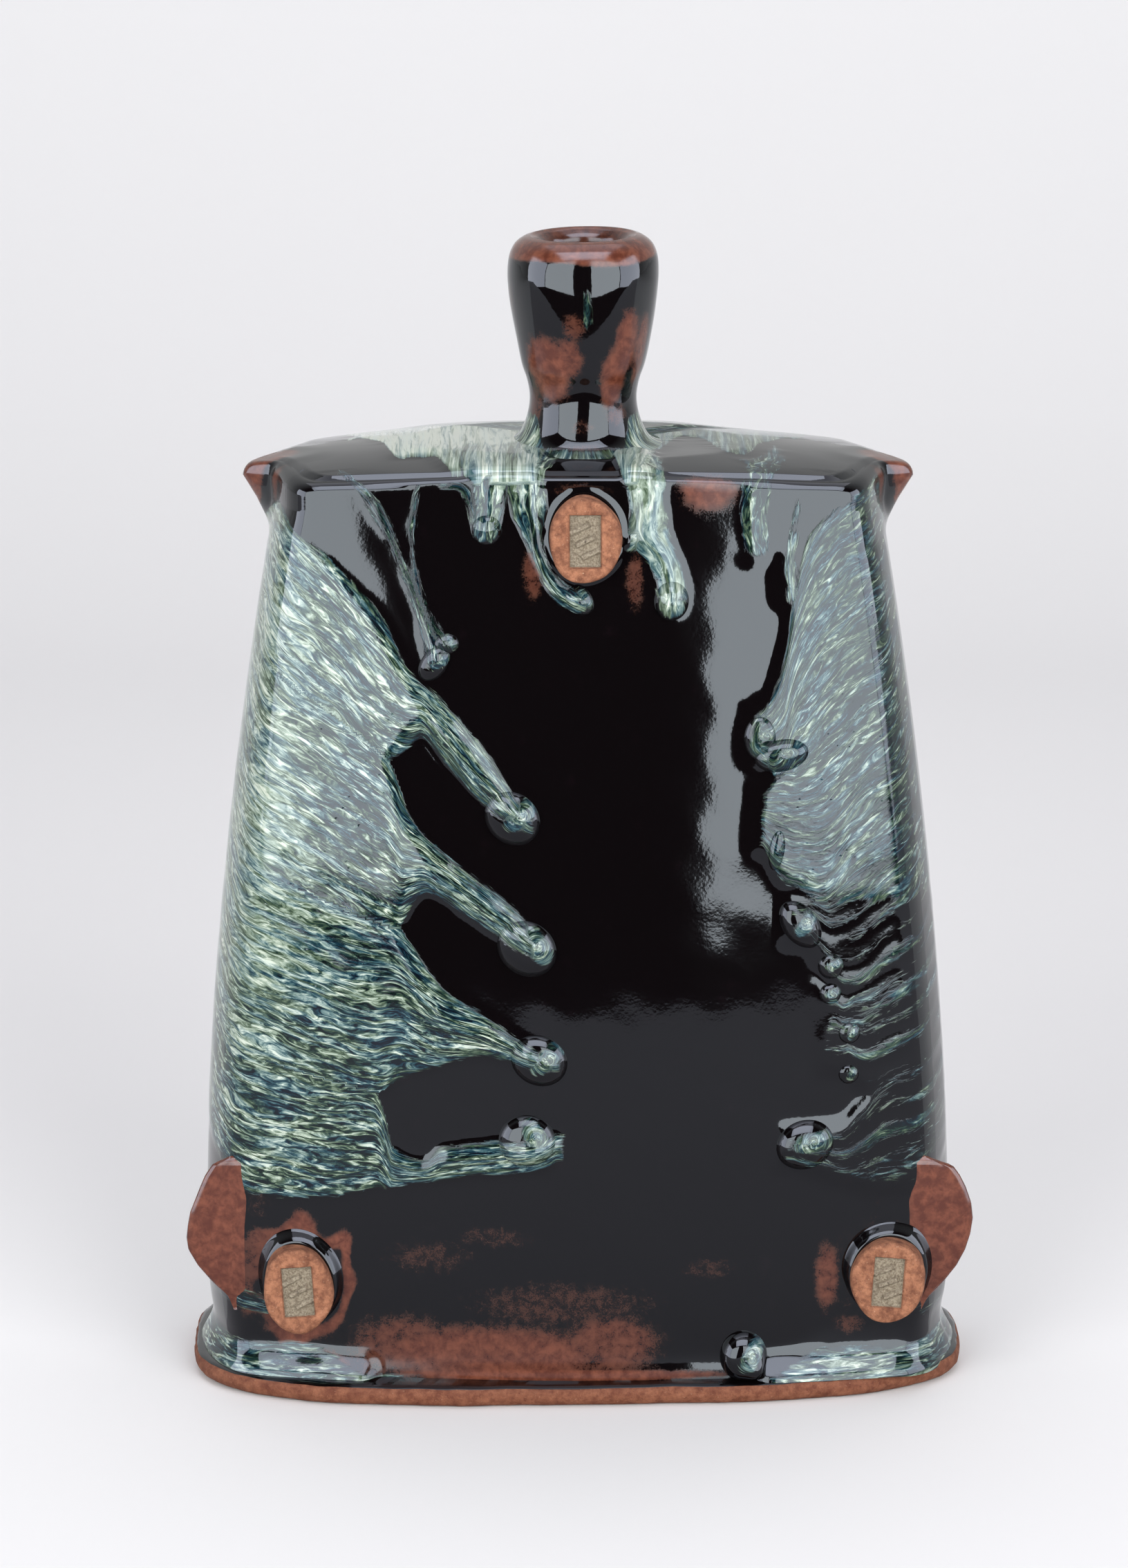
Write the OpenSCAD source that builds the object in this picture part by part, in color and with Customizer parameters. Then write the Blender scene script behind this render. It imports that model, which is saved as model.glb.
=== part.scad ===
// Slab-built stoneware bottle for sake.
//
// Four upright slabs stand on a wider foot slab and are closed by a domed
// shoulder slab with a thrown neck. Two pinched lugs sit on the shoulder's ends,
// two fins flare from the lower front edges, three stamped clay pads stand on
// the front, and beads of run glaze hang on the front slab.
//
// Frame: +Z up, front face towards -Y, origin at the centre of the underside.

/* [Overall] */
// Height from the underside to the rim of the mouth
height = 280; // [276:1:290]
// Thickness of the upright slabs
wall = 6; // [5:0.5:7]

/* [Foot] */
// Width of the foot slab
foot_w = 190; // [188:1:196]
// Depth of the foot slab at its middle
foot_d = 85; // [84:1:92]
// Squareness of the foot slab's outline, where 2 is an ellipse
foot_square = 3.2; // [3:0.1:4.5]
// Thickness of the foot slab
foot_t = 5; // [4:0.5:6]

/* [Body] */
// Greatest width across the side slabs
body_w = 183; // [178:1:184]
// Width lost between the widest level and the shoulder
body_taper_w = 38.6; // [30:0.2:42]
// Depth at the foot, front to back
body_d = 73; // [71:1:75]
// Depth lost between the foot and the shoulder
body_taper_d = 9; // [6:1:10]
// How far each side slab bulges past the front corner, at the foot
side_bulge = 7.5; // [6:0.5:9]
// How far the front slab bows forward at its middle, under the shoulder
front_bow = 6; // [4:0.5:7]
// How much more it bows at the ground
foot_bow = 3; // [1:0.5:4]

/* [Shoulder] */
// Height of the shoulder's top at the front edge's middle
shoulder_z = 227.5; // [222:0.5:230]
// Thickness of the shoulder slab at its front edge
shoulder_t = 5.5; // [4.5:0.5:6]
// How far the shoulder falls from its middle to 64 mm out
shoulder_fall = 3.3; // [2:0.1:4.5]
// Radius of the shoulder's rounded rim
rim_r = 3.5; // [2:0.5:4]

/* [Neck] */
// Diameter of the throat that a stopper fits
throat_d = 18; // [16:0.5:20]
// Length of the straight throat
throat_l = 7; // [5:0.5:9]
// Greatest diameter of the neck's bulb
bulb_d = 35.7; // [34:0.1:38]
// Diameter of the neck's waist
waist_d = 25.6; // [25:0.1:28]
// Sideways offset of the neck from the body's centre
neck_x = 1.3; // [-2:0.1:2]

/* [Pads] */
// How far the upper pad stands off the front slab
upper_pad_h = 5.5; // [4:0.5:7]
// How far the lower pads stand off it, where it has curved back
lower_pad_h = 8; // [6:0.5:9]
// Width of the stamped recess
stamp_w = 7.4; // [6:0.2:9]
// Height of the stamped recess
stamp_h = 12.6; // [10:0.2:14]
// Depth of the stamped recess
stamp_d = 1.2; // [0.6:0.1:2]

/* [Hidden] */

// Level of the body's greatest width, and how far it tucks in below that.
widest_z = 30;
foot_tuck = 3;
// Underside of the shoulder slab at its middle, where the upright slabs end.
under_z = shoulder_z - shoulder_t;
// Flat landing for the neck, and the crown that the dome would reach without it.
landing_z = shoulder_z + 2.1;
crown_z = shoulder_z + 3.5;
// Where shoulder_fall and the fall towards the front edge are measured.
fall_x = 64;
fall_y = 32;
// Setback of the rounded front corner.
corner = 4.5;
// The foot slab's depth grows by this share for each millimetre to the left.
foot_skew = 0.0008;

// Segments: levels up the slabs, across half a front, round a corner, along a
// side (even), and round a quarter of the foot.
levels = 26;
half_front_n = 6;
corner_n = 5;
side_n = 10;
foot_n = 20;

tenmoku = "#15100f";
rust = "#8c4a33";
bare_clay = "#b0683f";
nuka = "#9db8a6";

// ---------- shape of the body ----------

// Half width and half depth of the body at level z.
function half_w(z) =
    z > widest_z
    ? body_w / 2 - body_taper_w / 2 * pow((z - widest_z) / (under_z - widest_z), 1.75)
    : body_w / 2 - foot_tuck * pow((widest_z - z) / (widest_z - foot_t), 2);
function half_d(z) = body_d / 2 - body_taper_d / 2 * pow(z / under_z, 1.3);

// How far the side and the front stand out in their middles.
function bulge(z) = side_bulge - z / 110;
function bow(z) = front_bow + foot_bow * (1 - z / under_z);
function corner_x(z) = half_w(z) - bulge(z);
function corner_y(z) = half_d(z) - bow(z);

// Depth of the front face at x, width of the side at y, and the slabs' seam.
function front_y(x, z) = half_d(z) - bow(z) * pow(x / corner_x(z), 2);
function side_x(y, z) = corner_x(z) + bulge(z) * (1 - pow(y / corner_y(z), 2));
function seam_y(z) = corner_y(z) - wall;
// Depth of the front slab's inner face, which bows between the side slabs.
function inner_y(x, z) =
    seam_y(z) + bow(z) * max(0, 1 - pow(x / (side_x(seam_y(z), z) - wall), 2));

// The dome of the shoulder, cut flat for the neck, and its underside.
function dome_z(x, y) =
    min(landing_z, crown_z - shoulder_fall * pow(x / fall_x, 2)
        - (crown_z - shoulder_z) * pow(y / fall_y, 2));
function slab_top(x) = under_z - shoulder_fall * pow(x / fall_x, 2);

// A slab's height is shared out evenly: share v has one level for its outline,
// and each of its points is lifted to its own height under the dome.
function level(v) = foot_t + v * (under_z - foot_t);
function lift(p, v) = [p.x, p.y, foot_t + v * (slab_top(p.x) - foot_t)];
function shares(v0, v1) = [for (k = [0:levels]) let (v = k / levels) if (v >= v0 && v <= v1) v];

function bezier(a, b, c, t) = (1 - t) * (1 - t) * a + 2 * t * (1 - t) * b + t * t * c;
function reversed(pts) = [for (i = [len(pts) - 1:-1:0]) pts[i]];
function mirror_x(pts) = [for (p = reversed(pts)) [-p.x, p.y]];
function mirror_y(pts) = [for (p = reversed(pts)) [p.x, -p.y]];

// The rounded front right corner, from the front face to the side slab's seam.
function corner_arc(z) =
    let (
        x = corner_x(z) - corner,
        a = [x, -front_y(x, z)],
        b = [corner_x(z), -corner_y(z)],
        c = [side_x(seam_y(z), z), -seam_y(z)]
    )
    [for (i = [0:corner_n]) bezier(a, b, c, i / corner_n)];

// The right side, from the front seam to the back one.
function side_arc(z, inset = 0) =
    [for (i = [0:side_n])
        let (y = seam_y(z) * (2 * i / side_n - 1))
        [side_x(y, z) - inset, y]];

// The front slab's outer curve, from its left seam to its right one.
function front_arc(z) =
    let (
        step = (corner_x(z) - corner) / half_front_n,
        half = [for (i = [1:half_front_n - 1]) [i * step, -front_y(i * step, z)]],
        right = concat(half, corner_arc(z))
    )
    concat(mirror_x(right), [[0, -front_y(0, z)]], right);

// The whole outline, from the middle of the left side once round by the front.
function outline(z) =
    let (
        tip = side_x(0, z),
        side = side_arc(z),
        half_side = [for (i = [1:side_n / 2 - 1]) side[i]],
        front = concat(mirror_x(half_side), front_arc(z), half_side)
    )
    concat([[-tip, 0]], front, [[tip, 0]], mirror_y(front));

// ---------- solids from stacked rings ----------

// Cap of a ring of n points, in strips between the points that face each other.
// A pointed ring's first and middle points stand alone, as its two ends.
function cap(n, pointed) =
    let (last = n / 2 - 1, ends = pointed ? 1 : 0)
    concat(
        pointed ? [[0, 1, n - 1], [last, last + 1, last + 2]] : [],
        [for (i = [ends:last - 1])
            let (facing = n - 1 - i + ends)
            each [[i, i + 1, facing - 1], [i, facing - 1, facing]]]
    );

// Joins closed rings of equal length, from the lowest up, and caps both ends.
module loft(rings, pointed = true) {
    n = len(rings[0]);
    m = len(rings);
    ends = cap(n, pointed);
    polyhedron(
        points = [for (r = rings) each r],
        faces = concat(
            ends,
            [for (f = ends) [for (i = [2:-1:0]) f[i] + (m - 1) * n]],
            [for (k = [0:m - 2]) for (i = [0:n - 1])
                let (j = (i + 1) % n)
                each [[k * n + i, (k + 1) * n + i, (k + 1) * n + j],
                      [k * n + i, (k + 1) * n + j, k * n + j]]]
        ),
        convexity = 4
    );
}

// Rings of the shoulder's outside: its edge, its rounded rim and its dome.
function inset(pts, d) =
    [for (p = pts) [p.x * (1 - d / half_w(under_z)), p.y * (1 - d / half_d(under_z))]];
function dome_ring(pts, drop) = [for (p = pts) [p.x, p.y, dome_z(p.x, p.y) - drop]];
function shoulder_rings() =
    let (edge = outline(under_z))
    concat(
        [for (a = [0:22.5:90])
            dome_ring(inset(edge, rim_r * (1 - cos(a))), rim_r * (1 - sin(a)))],
        [for (s = [0.75, 0.5, 0.3, 0.12])
            dome_ring(s * inset(edge, rim_r), 0)]
    );
function body_rings(v0, v1) =
    [for (v = shares(v0, v1)) [for (p = outline(level(v))) lift(p, v)]];

// The closed body, whole or in part, for cutting what is joined on to it.
module body_core(v0, v1) {
    loft(concat(body_rings(v0, v1), v1 == 1 ? shoulder_rings() : []));
}

// ---------- sub-parts ----------

// The foot's outline, a superellipse from its left end round by the front.
function foot_ring(in, z) =
    [for (i = [0:4 * foot_n - 1])
        let (
            a = 180 + 90 * i / foot_n,
            x = (foot_w / 2 - in) * sign(cos(a)) * pow(abs(cos(a)), 2 / foot_square),
            y = (foot_d / 2 - in) * sign(sin(a)) * pow(abs(sin(a)), 2 / foot_square)
        )
        [x, y * (1 - foot_skew * x), z]];

module foot_slab() {
    color(bare_clay) loft([
        foot_ring(1.2, 0), foot_ring(0.3, 0.8), foot_ring(0, foot_t / 2),
        foot_ring(0.3, foot_t - 0.8), foot_ring(1.2, foot_t)
    ]);
}

module front_slab() {
    color(tenmoku) loft([for (v = shares(0, 1))
        let (
            z = level(v),
            outer = front_arc(z),
            inner = [for (i = [len(outer) - 2:-1:1]) [outer[i].x, -inner_y(outer[i].x, z)]]
        )
        [for (p = concat(outer, inner)) lift(p, v)]]);
}

module back_slab() {
    mirror([0, 1, 0]) front_slab();
}

module right_side_slab() {
    color(tenmoku) loft(pointed = false, [for (v = shares(0, 1))
        let (z = level(v))
        [for (p = concat(side_arc(z), reversed(side_arc(z, wall)))) lift(p, v)]]);
}

module left_side_slab() {
    mirror([1, 0, 0]) right_side_slab();
}

module shoulder_slab() {
    edge = outline(under_z);
    color(tenmoku) difference() {
        loft(concat(
            [for (s = [0.3, 0.6, 0.85]) [for (p = edge) [s * p.x, s * p.y, slab_top(s * p.x)]]],
            [[for (p = edge) lift(p, 1)]],
            shoulder_rings()
        ));
        translate([neck_x, 0, under_z - 10]) cylinder(d = throat_d, h = 30, $fn = 64);
    }
}

module neck() {
    bulb = bulb_d / 2;
    waist = waist_d / 2;
    throat = throat_d / 2;
    top = height - landing_z;
    outside = [
        [bulb + 0.35, 0], [waist + 3, 1.2], [waist + 1.2, 3.6], [waist + 0.3, 7.4],
        [waist, 11.4], [waist + 0.7, 15.9], [waist + 2, 19.9], [waist + 3.5, 27],
        [bulb - 0.5, 33], [bulb, 38.4], [bulb, 41.9], [bulb - 0.6, top - 5],
        [bulb - 1.8, top - 2.2], [bulb - 4, top - 0.6], [bulb - 6.4, top]
    ];
    inside = [
        [throat + 2.2, top - 0.6], [throat + 0.5, top - 2], [throat, top - 3.4],
        [throat, top - 3.4 - throat_l], [throat + 1.8, top - 15], [throat + 3.4, 29],
        [throat + 2, 21], [throat, 14], [throat, 0]
    ];
    color(rust) translate([neck_x, 0, landing_z])
        rotate_extrude($fn = 96) polygon(concat(outside, inside));
}

// A lug pinched out of the shoulder's end: a broad ear that ends in a round knob,
// whose tip is at x = reach and whose middle is at height z.
module lug(reach, z) {
    knob = 4.3;
    root = half_w(under_z) - 5;
    ball = 20;
    color(rust) difference() {
        union() {
            hull() {
                translate([reach - knob, -1, z]) sphere(r = knob, $fn = ball);
                translate([reach - 2 * knob, -0.5, z - 0.3]) sphere(r = knob + 0.2, $fn = ball);
            }
            hull() {
                translate([reach - 2 * knob, -0.5, z - 0.3]) sphere(r = knob + 0.2, $fn = ball);
                for (y = [-16, 16])
                    translate([root, y, z - 2]) sphere(r = 3, $fn = ball);
                translate([root + 3, 0, z - 11]) sphere(r = 2, $fn = ball);
            }
        }
        body_core(0.75, 1);
    }
}

// A fin flared out of the front corner. Each point of its root moves out by its
// share of the reach, which grows from v0 to peak and dies away at v1.
module fin(reach, v0, v1, peak) {
    share = [0, 0.35, 0.8, 1, 0.92, 0.55, 0.25, 0.1, 0];
    outward = [1, -0.08];
    n = len(share);
    color(rust) loft([for (v = shares(v0, v1))
        let (
            z = level(v),
            t = v < peak ? (v - v0) / (peak - v0) : (v1 - v) / (v1 - peak),
            out = 0.5 + reach * pow(sin(90 * t), v < peak ? 1.2 : 0.8),
            side = side_arc(z),
            root = concat(corner_arc(z), [for (i = [1:n - corner_n - 1]) side[i]]),
            edge = [for (i = [0:n - 1]) root[i] + out * share[i] * outward]
        )
        [for (p = concat(edge, [for (i = [n - 2:-1:1]) root[i]])) lift(p, v)]]);
}

// A stamped oval pad with its middle at [x, z], rx by rz, leaning by turn, whose
// face stands h off the front.
module pad(x, z, rx, rz, turn, h) {
    back = 4 - front_y(x, z);
    face = -front_y(x, z) - h;
    oval = [for (a = [180:10:530]) [rx * cos(a), rz * sin(a)]];
    // Rings from the face back: share of the oval, and distance behind the face.
    rings = [[0.9, 0], [0.97, 0.5], [1, 1.6], [1, back - face]];
    ribs = 3;
    color(bare_clay) translate([x, 0, z]) rotate([0, turn, 0]) {
        difference() {
            loft([for (r = reversed(rings))
                [for (p = oval) [r[0] * p.x, face + r[1], r[0] * p.y]]]);
            translate([-stamp_w / 2, face - 1, -stamp_h / 2])
                cube([stamp_w, stamp_d + 1, stamp_h]);
        }
        // Slanting ribs stand in the recess.
        for (i = [1:ribs])
            translate([0, face + stamp_d, stamp_h * (i / (ribs + 1) - 0.5)])
                rotate([0, 25, 0]) translate([-2.4, -0.6, -0.55]) cube([4.8, 1.6, 1.1]);
    }
}

module upper_pad() {
    difference() {
        pad(1.7, 213.5, 8.5, 10.2, 0, upper_pad_h);
        body_core(0.75, 1);
    }
}

module lower_left_pad() {
    difference() {
        pad(-67.6, 28, 8.4, 10.7, -4, lower_pad_h);
        body_core(0, 0.3);
    }
}

module lower_right_pad() {
    difference() {
        pad(75.1, 30, 9, 10.2, 4, lower_pad_h);
        body_core(0, 0.3);
    }
}

// Beads where runs of glaze end on the front: [x, z, radius of curvature, stand-off].
beads = [
    [-14.5, 147, 5.5, 3.2], [-11, 115, 6.5, 3.4], [-8.5, 86.5, 5.5, 3.4], [-9.5, 65, 6.5, 3.4],
    [-33.5, 183.5, 4, 2], [0, 198, 3.5, 2], [22, 197.5, 4.5, 2.8],
    [44, 164, 5.5, 2.8], [54, 119, 5, 2.8], [61, 104, 3.2, 1.6], [65, 91, 2.8, 1.4],
    [56, 64, 6.5, 3.4], [39.5, 10, 5.5, 5]
];
module glaze_beads() {
    color(nuka) difference() {
        for (b = beads)
            translate([b[0], b[2] - b[3] - front_y(b[0], b[1]), b[1]])
                sphere(r = b[2], $fn = 28);
        body_core(0, 1);
        translate([-foot_w / 2, -foot_d, 0]) cube([foot_w, foot_d, foot_t]);
    }
}

foot_slab();
front_slab();
back_slab();
left_side_slab();
right_side_slab();
shoulder_slab();
neck();
mirror([1, 0, 0]) lug(79.7, 221.7);  // left_lug
lug(80.4, 221.4);  // right_lug
mirror([1, 0, 0]) fin(9.6, 0.07, 0.24, 0.15);  // left_fin
fin(10.4, 0.07, 0.24, 0.175);  // right_fin
upper_pad();
lower_left_pad();
lower_right_pad();
glaze_beads();
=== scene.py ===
"""Looks of a slab-built stoneware sake bottle: black glaze breaking to rust, with runs of
pale ash glaze that flowed from the back and the sides on to the front and end in beads.

Lengths are in millimetres until a mesh is made. A point of the body has three coordinates
that the glaze follows: a, the distance round the body from the middle of the front (left is
negative); h, the height up the wall and then on over the rim; and x.
"""
import math

import bpy
import numpy as np
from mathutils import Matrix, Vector


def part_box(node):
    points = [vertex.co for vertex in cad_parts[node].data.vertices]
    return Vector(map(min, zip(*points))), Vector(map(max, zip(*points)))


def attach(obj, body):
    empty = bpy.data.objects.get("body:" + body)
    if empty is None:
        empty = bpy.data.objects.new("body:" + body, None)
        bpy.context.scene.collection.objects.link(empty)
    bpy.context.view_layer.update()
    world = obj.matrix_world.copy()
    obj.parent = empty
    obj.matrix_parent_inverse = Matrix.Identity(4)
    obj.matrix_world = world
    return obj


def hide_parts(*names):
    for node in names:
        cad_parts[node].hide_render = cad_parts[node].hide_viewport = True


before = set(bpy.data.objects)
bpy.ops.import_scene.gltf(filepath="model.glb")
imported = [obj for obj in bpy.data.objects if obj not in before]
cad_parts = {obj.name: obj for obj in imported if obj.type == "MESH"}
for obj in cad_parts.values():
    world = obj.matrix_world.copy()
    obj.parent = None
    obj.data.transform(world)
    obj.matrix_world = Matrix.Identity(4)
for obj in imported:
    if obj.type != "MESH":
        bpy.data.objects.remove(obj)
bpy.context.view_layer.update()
MM = 0.001


def box_mm(node):
    low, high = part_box(node)
    return np.array(low) / MM, np.array(high) / MM


# ---------- sizes, from the frame and the design's proportions ----------

front_low, front_high = box_mm("front_slab")
neck_low, neck_high = box_mm("neck")
FOOT_W, FOOT_D, FOOT_T = box_mm("foot_slab")[1]
BODY_W = box_mm("right_side_slab")[1][0]
BODY_D = -front_low[1]
UNDER_Z = front_high[2]
LANDING_Z = box_mm("shoulder_slab")[1][2]
NECK_X = (neck_low[0] + neck_high[0]) / 2
WALL = 6.0
# The walls: where they are widest, how far they come in at the top and at the foot, and how
# far the sides and the front bow out between their rounded corners.
WIDEST_Z = 30.0
TAPER_W, TAPER_D, FOOT_TUCK = 19.3, 4.5, 3.0
SIDE_BULGE, FRONT_BOW, FOOT_BOW = 7.5, 6.0, 3.0
CORNER = 4.5
# The dome: its crown, how far it falls at a distance from the middle, and its rim's radius.
CROWN_Z = LANDING_Z + 1.4
FALL_X, FALL_Z, FALL_Y, FALL_FRONT = 64.0, 3.3, 32.0, 3.5
RIM_R = 3.5
# The foot's outline: how square its rounded shape is, and how much its ends are askew.
FOOT_SQUARE, FOOT_SKEW = 3.2, 0.0008


def half_w(z):
    above = np.clip(z - WIDEST_Z, 0, None) / (UNDER_Z - WIDEST_Z)
    below = np.clip(WIDEST_Z - z, 0, None) / (WIDEST_Z - FOOT_T)
    return BODY_W - TAPER_W * above**1.75 - FOOT_TUCK * below**2


def half_d(z):
    return BODY_D - TAPER_D * (np.clip(z, 0, None) / UNDER_Z) ** 1.3


def bow(z):
    return FRONT_BOW + FOOT_BOW * (1 - z / UNDER_Z)


def bulge(z):
    return SIDE_BULGE - z / 110


def corner_x(z):
    return half_w(z) - bulge(z)


def corner_y(z):
    return half_d(z) - bow(z)


def seam_y(z):
    return corner_y(z) - WALL


def front_y(x, z):
    return half_d(z) - bow(z) * (x / corner_x(z)) ** 2


def side_x(y, z):
    return corner_x(z) + bulge(z) * (1 - (y / corner_y(z)) ** 2)


def dome_z(x, y):
    dome = CROWN_Z - FALL_Z * (x / FALL_X) ** 2 - FALL_FRONT * (y / FALL_Y) ** 2
    return np.minimum(LANDING_Z, dome)


def corner_arc(z, n):
    """The rounded front right corner at levels z, as n + 1 columns of x and of y."""
    t = np.linspace(0, 1, n + 1)[None, :]
    ax = corner_x(z) - CORNER
    ay = -front_y(ax, z)
    bx, by = corner_x(z), -corner_y(z)
    cy = -seam_y(z)
    cx = side_x(cy, z)
    quad = ((1 - t) ** 2, 2 * t * (1 - t), t**2)
    x = quad[0] * ax[:, None] + quad[1] * bx[:, None] + quad[2] * cx[:, None]
    y = quad[0] * ay[:, None] + quad[1] * by[:, None] + quad[2] * cy[:, None]
    return x, y


# Columns of the body's grid, and its rows up the wall, round the rim and over the dome.
N_FRONT, N_BACK, N_CORNER, N_SIDE = 240, 120, 8, 96
N_WALL, N_RIM, N_DOME = 300, 8, 44
LEFT_SEAM_BACK = N_BACK // 2 + N_CORNER
LEFT_SEAM_FRONT = LEFT_SEAM_BACK + N_SIDE
MIDDLE = LEFT_SEAM_FRONT + N_CORNER + N_FRONT // 2
RIGHT_SEAM_FRONT = LEFT_SEAM_FRONT + 2 * N_CORNER + N_FRONT
RIGHT_SEAM_BACK = RIGHT_SEAM_FRONT + N_SIDE
LAST_COLUMN = RIGHT_SEAM_BACK + N_CORNER + N_BACK // 2
# The dome's last ring, as a share of the rim; the neck's flare covers what is inside it.
DOME_END = 0.2


def outline(z):
    """The body's outline at levels z, from the middle of the back round by the left side."""
    col = z[:, None]
    flat = corner_x(z) - CORNER
    across = np.linspace(-1, 1, N_FRONT + 1)[None, :] * flat[:, None]
    front = (across, -front_y(across, col))
    cx, cy = corner_arc(z, N_CORNER)
    y_side = np.linspace(-1, 1, N_SIDE + 1)[None, :] * seam_y(z)[:, None]
    side = (side_x(y_side, col), y_side)
    back_half = np.linspace(1, 0, N_BACK // 2 + 1)[None, :] * flat[:, None]
    back = (back_half, front_y(back_half, col))
    right = [
        (cx[:, 1:], cy[:, 1:]),
        (side[0][:, 1:], side[1][:, 1:]),
        (cx[:, -2::-1], -cy[:, -2::-1]),
        (back[0][:, 1:], back[1][:, 1:]),
    ]
    left = [(-x[:, ::-1], y[:, ::-1]) for x, y in reversed(right)]
    parts = left + [front] + right
    return np.hstack([p[0] for p in parts]), np.hstack([p[1] for p in parts])


def xyz(x, y, z):
    """Points, or any three fields, from three arrays or numbers."""
    return np.stack(np.broadcast_arrays(x, y, z), axis=-1)


def unit(v):
    return v / np.maximum(np.linalg.norm(v, axis=-1, keepdims=True), 1e-12)


def grid_normals(p, outward):
    """Vertex normals of a grid of points, on the side that outward says."""
    du = np.gradient(p, axis=1)
    dv = np.gradient(p, axis=0)
    n = unit(np.cross(du, dv))
    flip = np.sign(np.sum(n * outward, axis=-1, keepdims=True))
    flip[flip == 0] = 1
    return n * flip


# ---------- small helpers for shapes and fields ----------


def smoothstep(low, high, v):
    """0 before low and 1 after high, or the other way about if low is above high."""
    t = np.clip((v - low) / (high - low), 0, 1)
    return t * t * (3 - 2 * t)


def curve(at, points):
    """Smooth interpolation through points (t, value) at the places in at."""
    t, v = np.array(points, float).T
    order = np.argsort(t)
    t, v = t[order], v[order]
    step = np.diff(v) / np.diff(t)
    slope = np.concatenate([[step[0]], (step[1:] + step[:-1]) / 2, [step[-1]]])
    for k, s in enumerate(step):
        limit = 3 * abs(s)
        slope[k] = np.clip(slope[k], -limit, limit)
        slope[k + 1] = np.clip(slope[k + 1], -limit, limit)
    at = np.clip(at, t[0], t[-1])
    i = np.clip(np.searchsorted(t, at) - 1, 0, len(t) - 2)
    w = t[i + 1] - t[i]
    s = (at - t[i]) / w
    return (
        v[i] * (1 + 2 * s) * (1 - s) ** 2
        + slope[i] * w * s * (1 - s) ** 2
        + v[i + 1] * s * s * (3 - 2 * s)
        - slope[i + 1] * w * s * s * (1 - s)
    )


def spline(points, per=10):
    """Catmull-Rom samples along rows of numbers."""
    p = np.array(points, float)
    p = np.vstack([2 * p[0] - p[1], p, 2 * p[-1] - p[-2]])
    out = []
    for k in range(1, len(p) - 2):
        for s in np.linspace(0, 1, per, endpoint=False):
            a, b, c, d = p[k - 1 : k + 3]
            out.append(
                0.5 * (2 * b + (c - a) * s + (2 * a - 5 * b + 4 * c - d) * s**2
                       + (3 * b - 3 * c + d - a) * s**3)
            )
    out.append(p[-2])
    return np.array(out)


def ripple(x, y, z, size, seed):
    """A smooth deterministic wobble of about plus or minus one, with waves of one size."""
    rng = np.random.default_rng(seed)
    total = 0
    for _ in range(7):
        way = rng.normal(size=3)
        way *= 2 * math.pi / (size * rng.uniform(0.7, 1.5) * np.linalg.norm(way))
        total = total + np.sin(x * way[0] + y * way[1] + z * way[2] + rng.uniform(0, 2 * math.pi))
    return total / 3.5


# ---------- where the runs of pale glaze lie ----------

# "cover" is how far inside the edge of the pale glaze a point lies. BARE is far outside it.
BARE = -30.0

# Streams on the left: each stream's upper and lower edge as points (a, h), where it ends and
# how pale it is. Neighbours share an edge until a gap opens between them.
LEFT_TOP = [(-260, 227), (-150, 226), (-100, 221), (-75, 217), (-65, 212), (-55.5, 203.6),
            (-46, 192.7), (-40, 181), (-29, 170.3), (-20.5, 159.4), (-14.5, 150), (-11, 146)]
LEFT_AB = [(-260, 212), (-150, 206), (-110, 197), (-95, 191), (-75, 181), (-60, 171), (-46, 160)]
LEFT_BC = [(-260, 176), (-150, 162), (-110, 147), (-80, 132), (-60, 124), (-43, 118)]
LEFT_CD = [(-260, 116), (-150, 105), (-110, 95), (-80, 85), (-60, 79.5), (-49, 77)]
LEFT_END = [(-260, 84), (-150, 73), (-120, 66), (-95, 58), (-86.8, 54.5), (-82.5, 51.6),
            (-74.4, 50.2), (-60.8, 50.2), (-45.9, 53.4), (-28, 56.6), (-8, 59), (-5, 61)]
LEFT_STREAMS = [
    (LEFT_TOP, LEFT_AB + [(-41, 162), (-38.5, 164), (-37, 165), (-32.2, 159.4), (-28, 154.5),
                          (-24, 150.5), (-18, 146.8), (-11, 142.5)], -12.5, 0.42),
    (LEFT_AB + [(-43.5, 155), (-41.5, 149), (-36.7, 141.2), (-27, 132.6), (-14.8, 122),
                (-8, 115)],
     LEFT_BC + [(-40, 123), (-36.4, 127), (-32.3, 125.5), (-22.4, 118.9), (-15, 114.5),
                (-8, 111)], -8.5, 0.42),
    (LEFT_BC + [(-39.5, 113), (-33.2, 104.3), (-21.7, 96.3), (-14.9, 91.2), (-5, 86)],
     LEFT_CD + [(-43, 80.5), (-37, 82.8), (-23.5, 86.5), (-5, 84)], -6, 0.4),
    (LEFT_CD + [(-46.5, 71), (-44.8, 63.5), (-36, 61), (-33, 63.6), (-25.9, 64.3), (-5, 67)],
     LEFT_END, -5, 0.4),
]
RIGHT_TOP = [(44, 170), (46.5, 176), (49.5, 186), (50.5, 194), (52, 203), (55, 212), (61, 219),
             (75, 224), (100, 226), (260, 228)]
RIGHT_KL = [(52, 156), (60, 163), (70, 172), (82, 179), (110, 190), (260, 205)]
RIGHT_LM = [(59, 124), (66, 131), (76, 138), (90, 144), (120, 155), (260, 170)]
RIGHT_MN = [(67, 101), (75, 106), (85, 110), (110, 118), (260, 135)]
RIGHT_NQ = [(74, 80), (84, 84), (110, 91), (260, 106)]
RIGHT_END = [(52, 61), (58, 58.5), (66, 55.4), (78, 53.5), (90, 56), (120, 64), (260, 82)]
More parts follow.
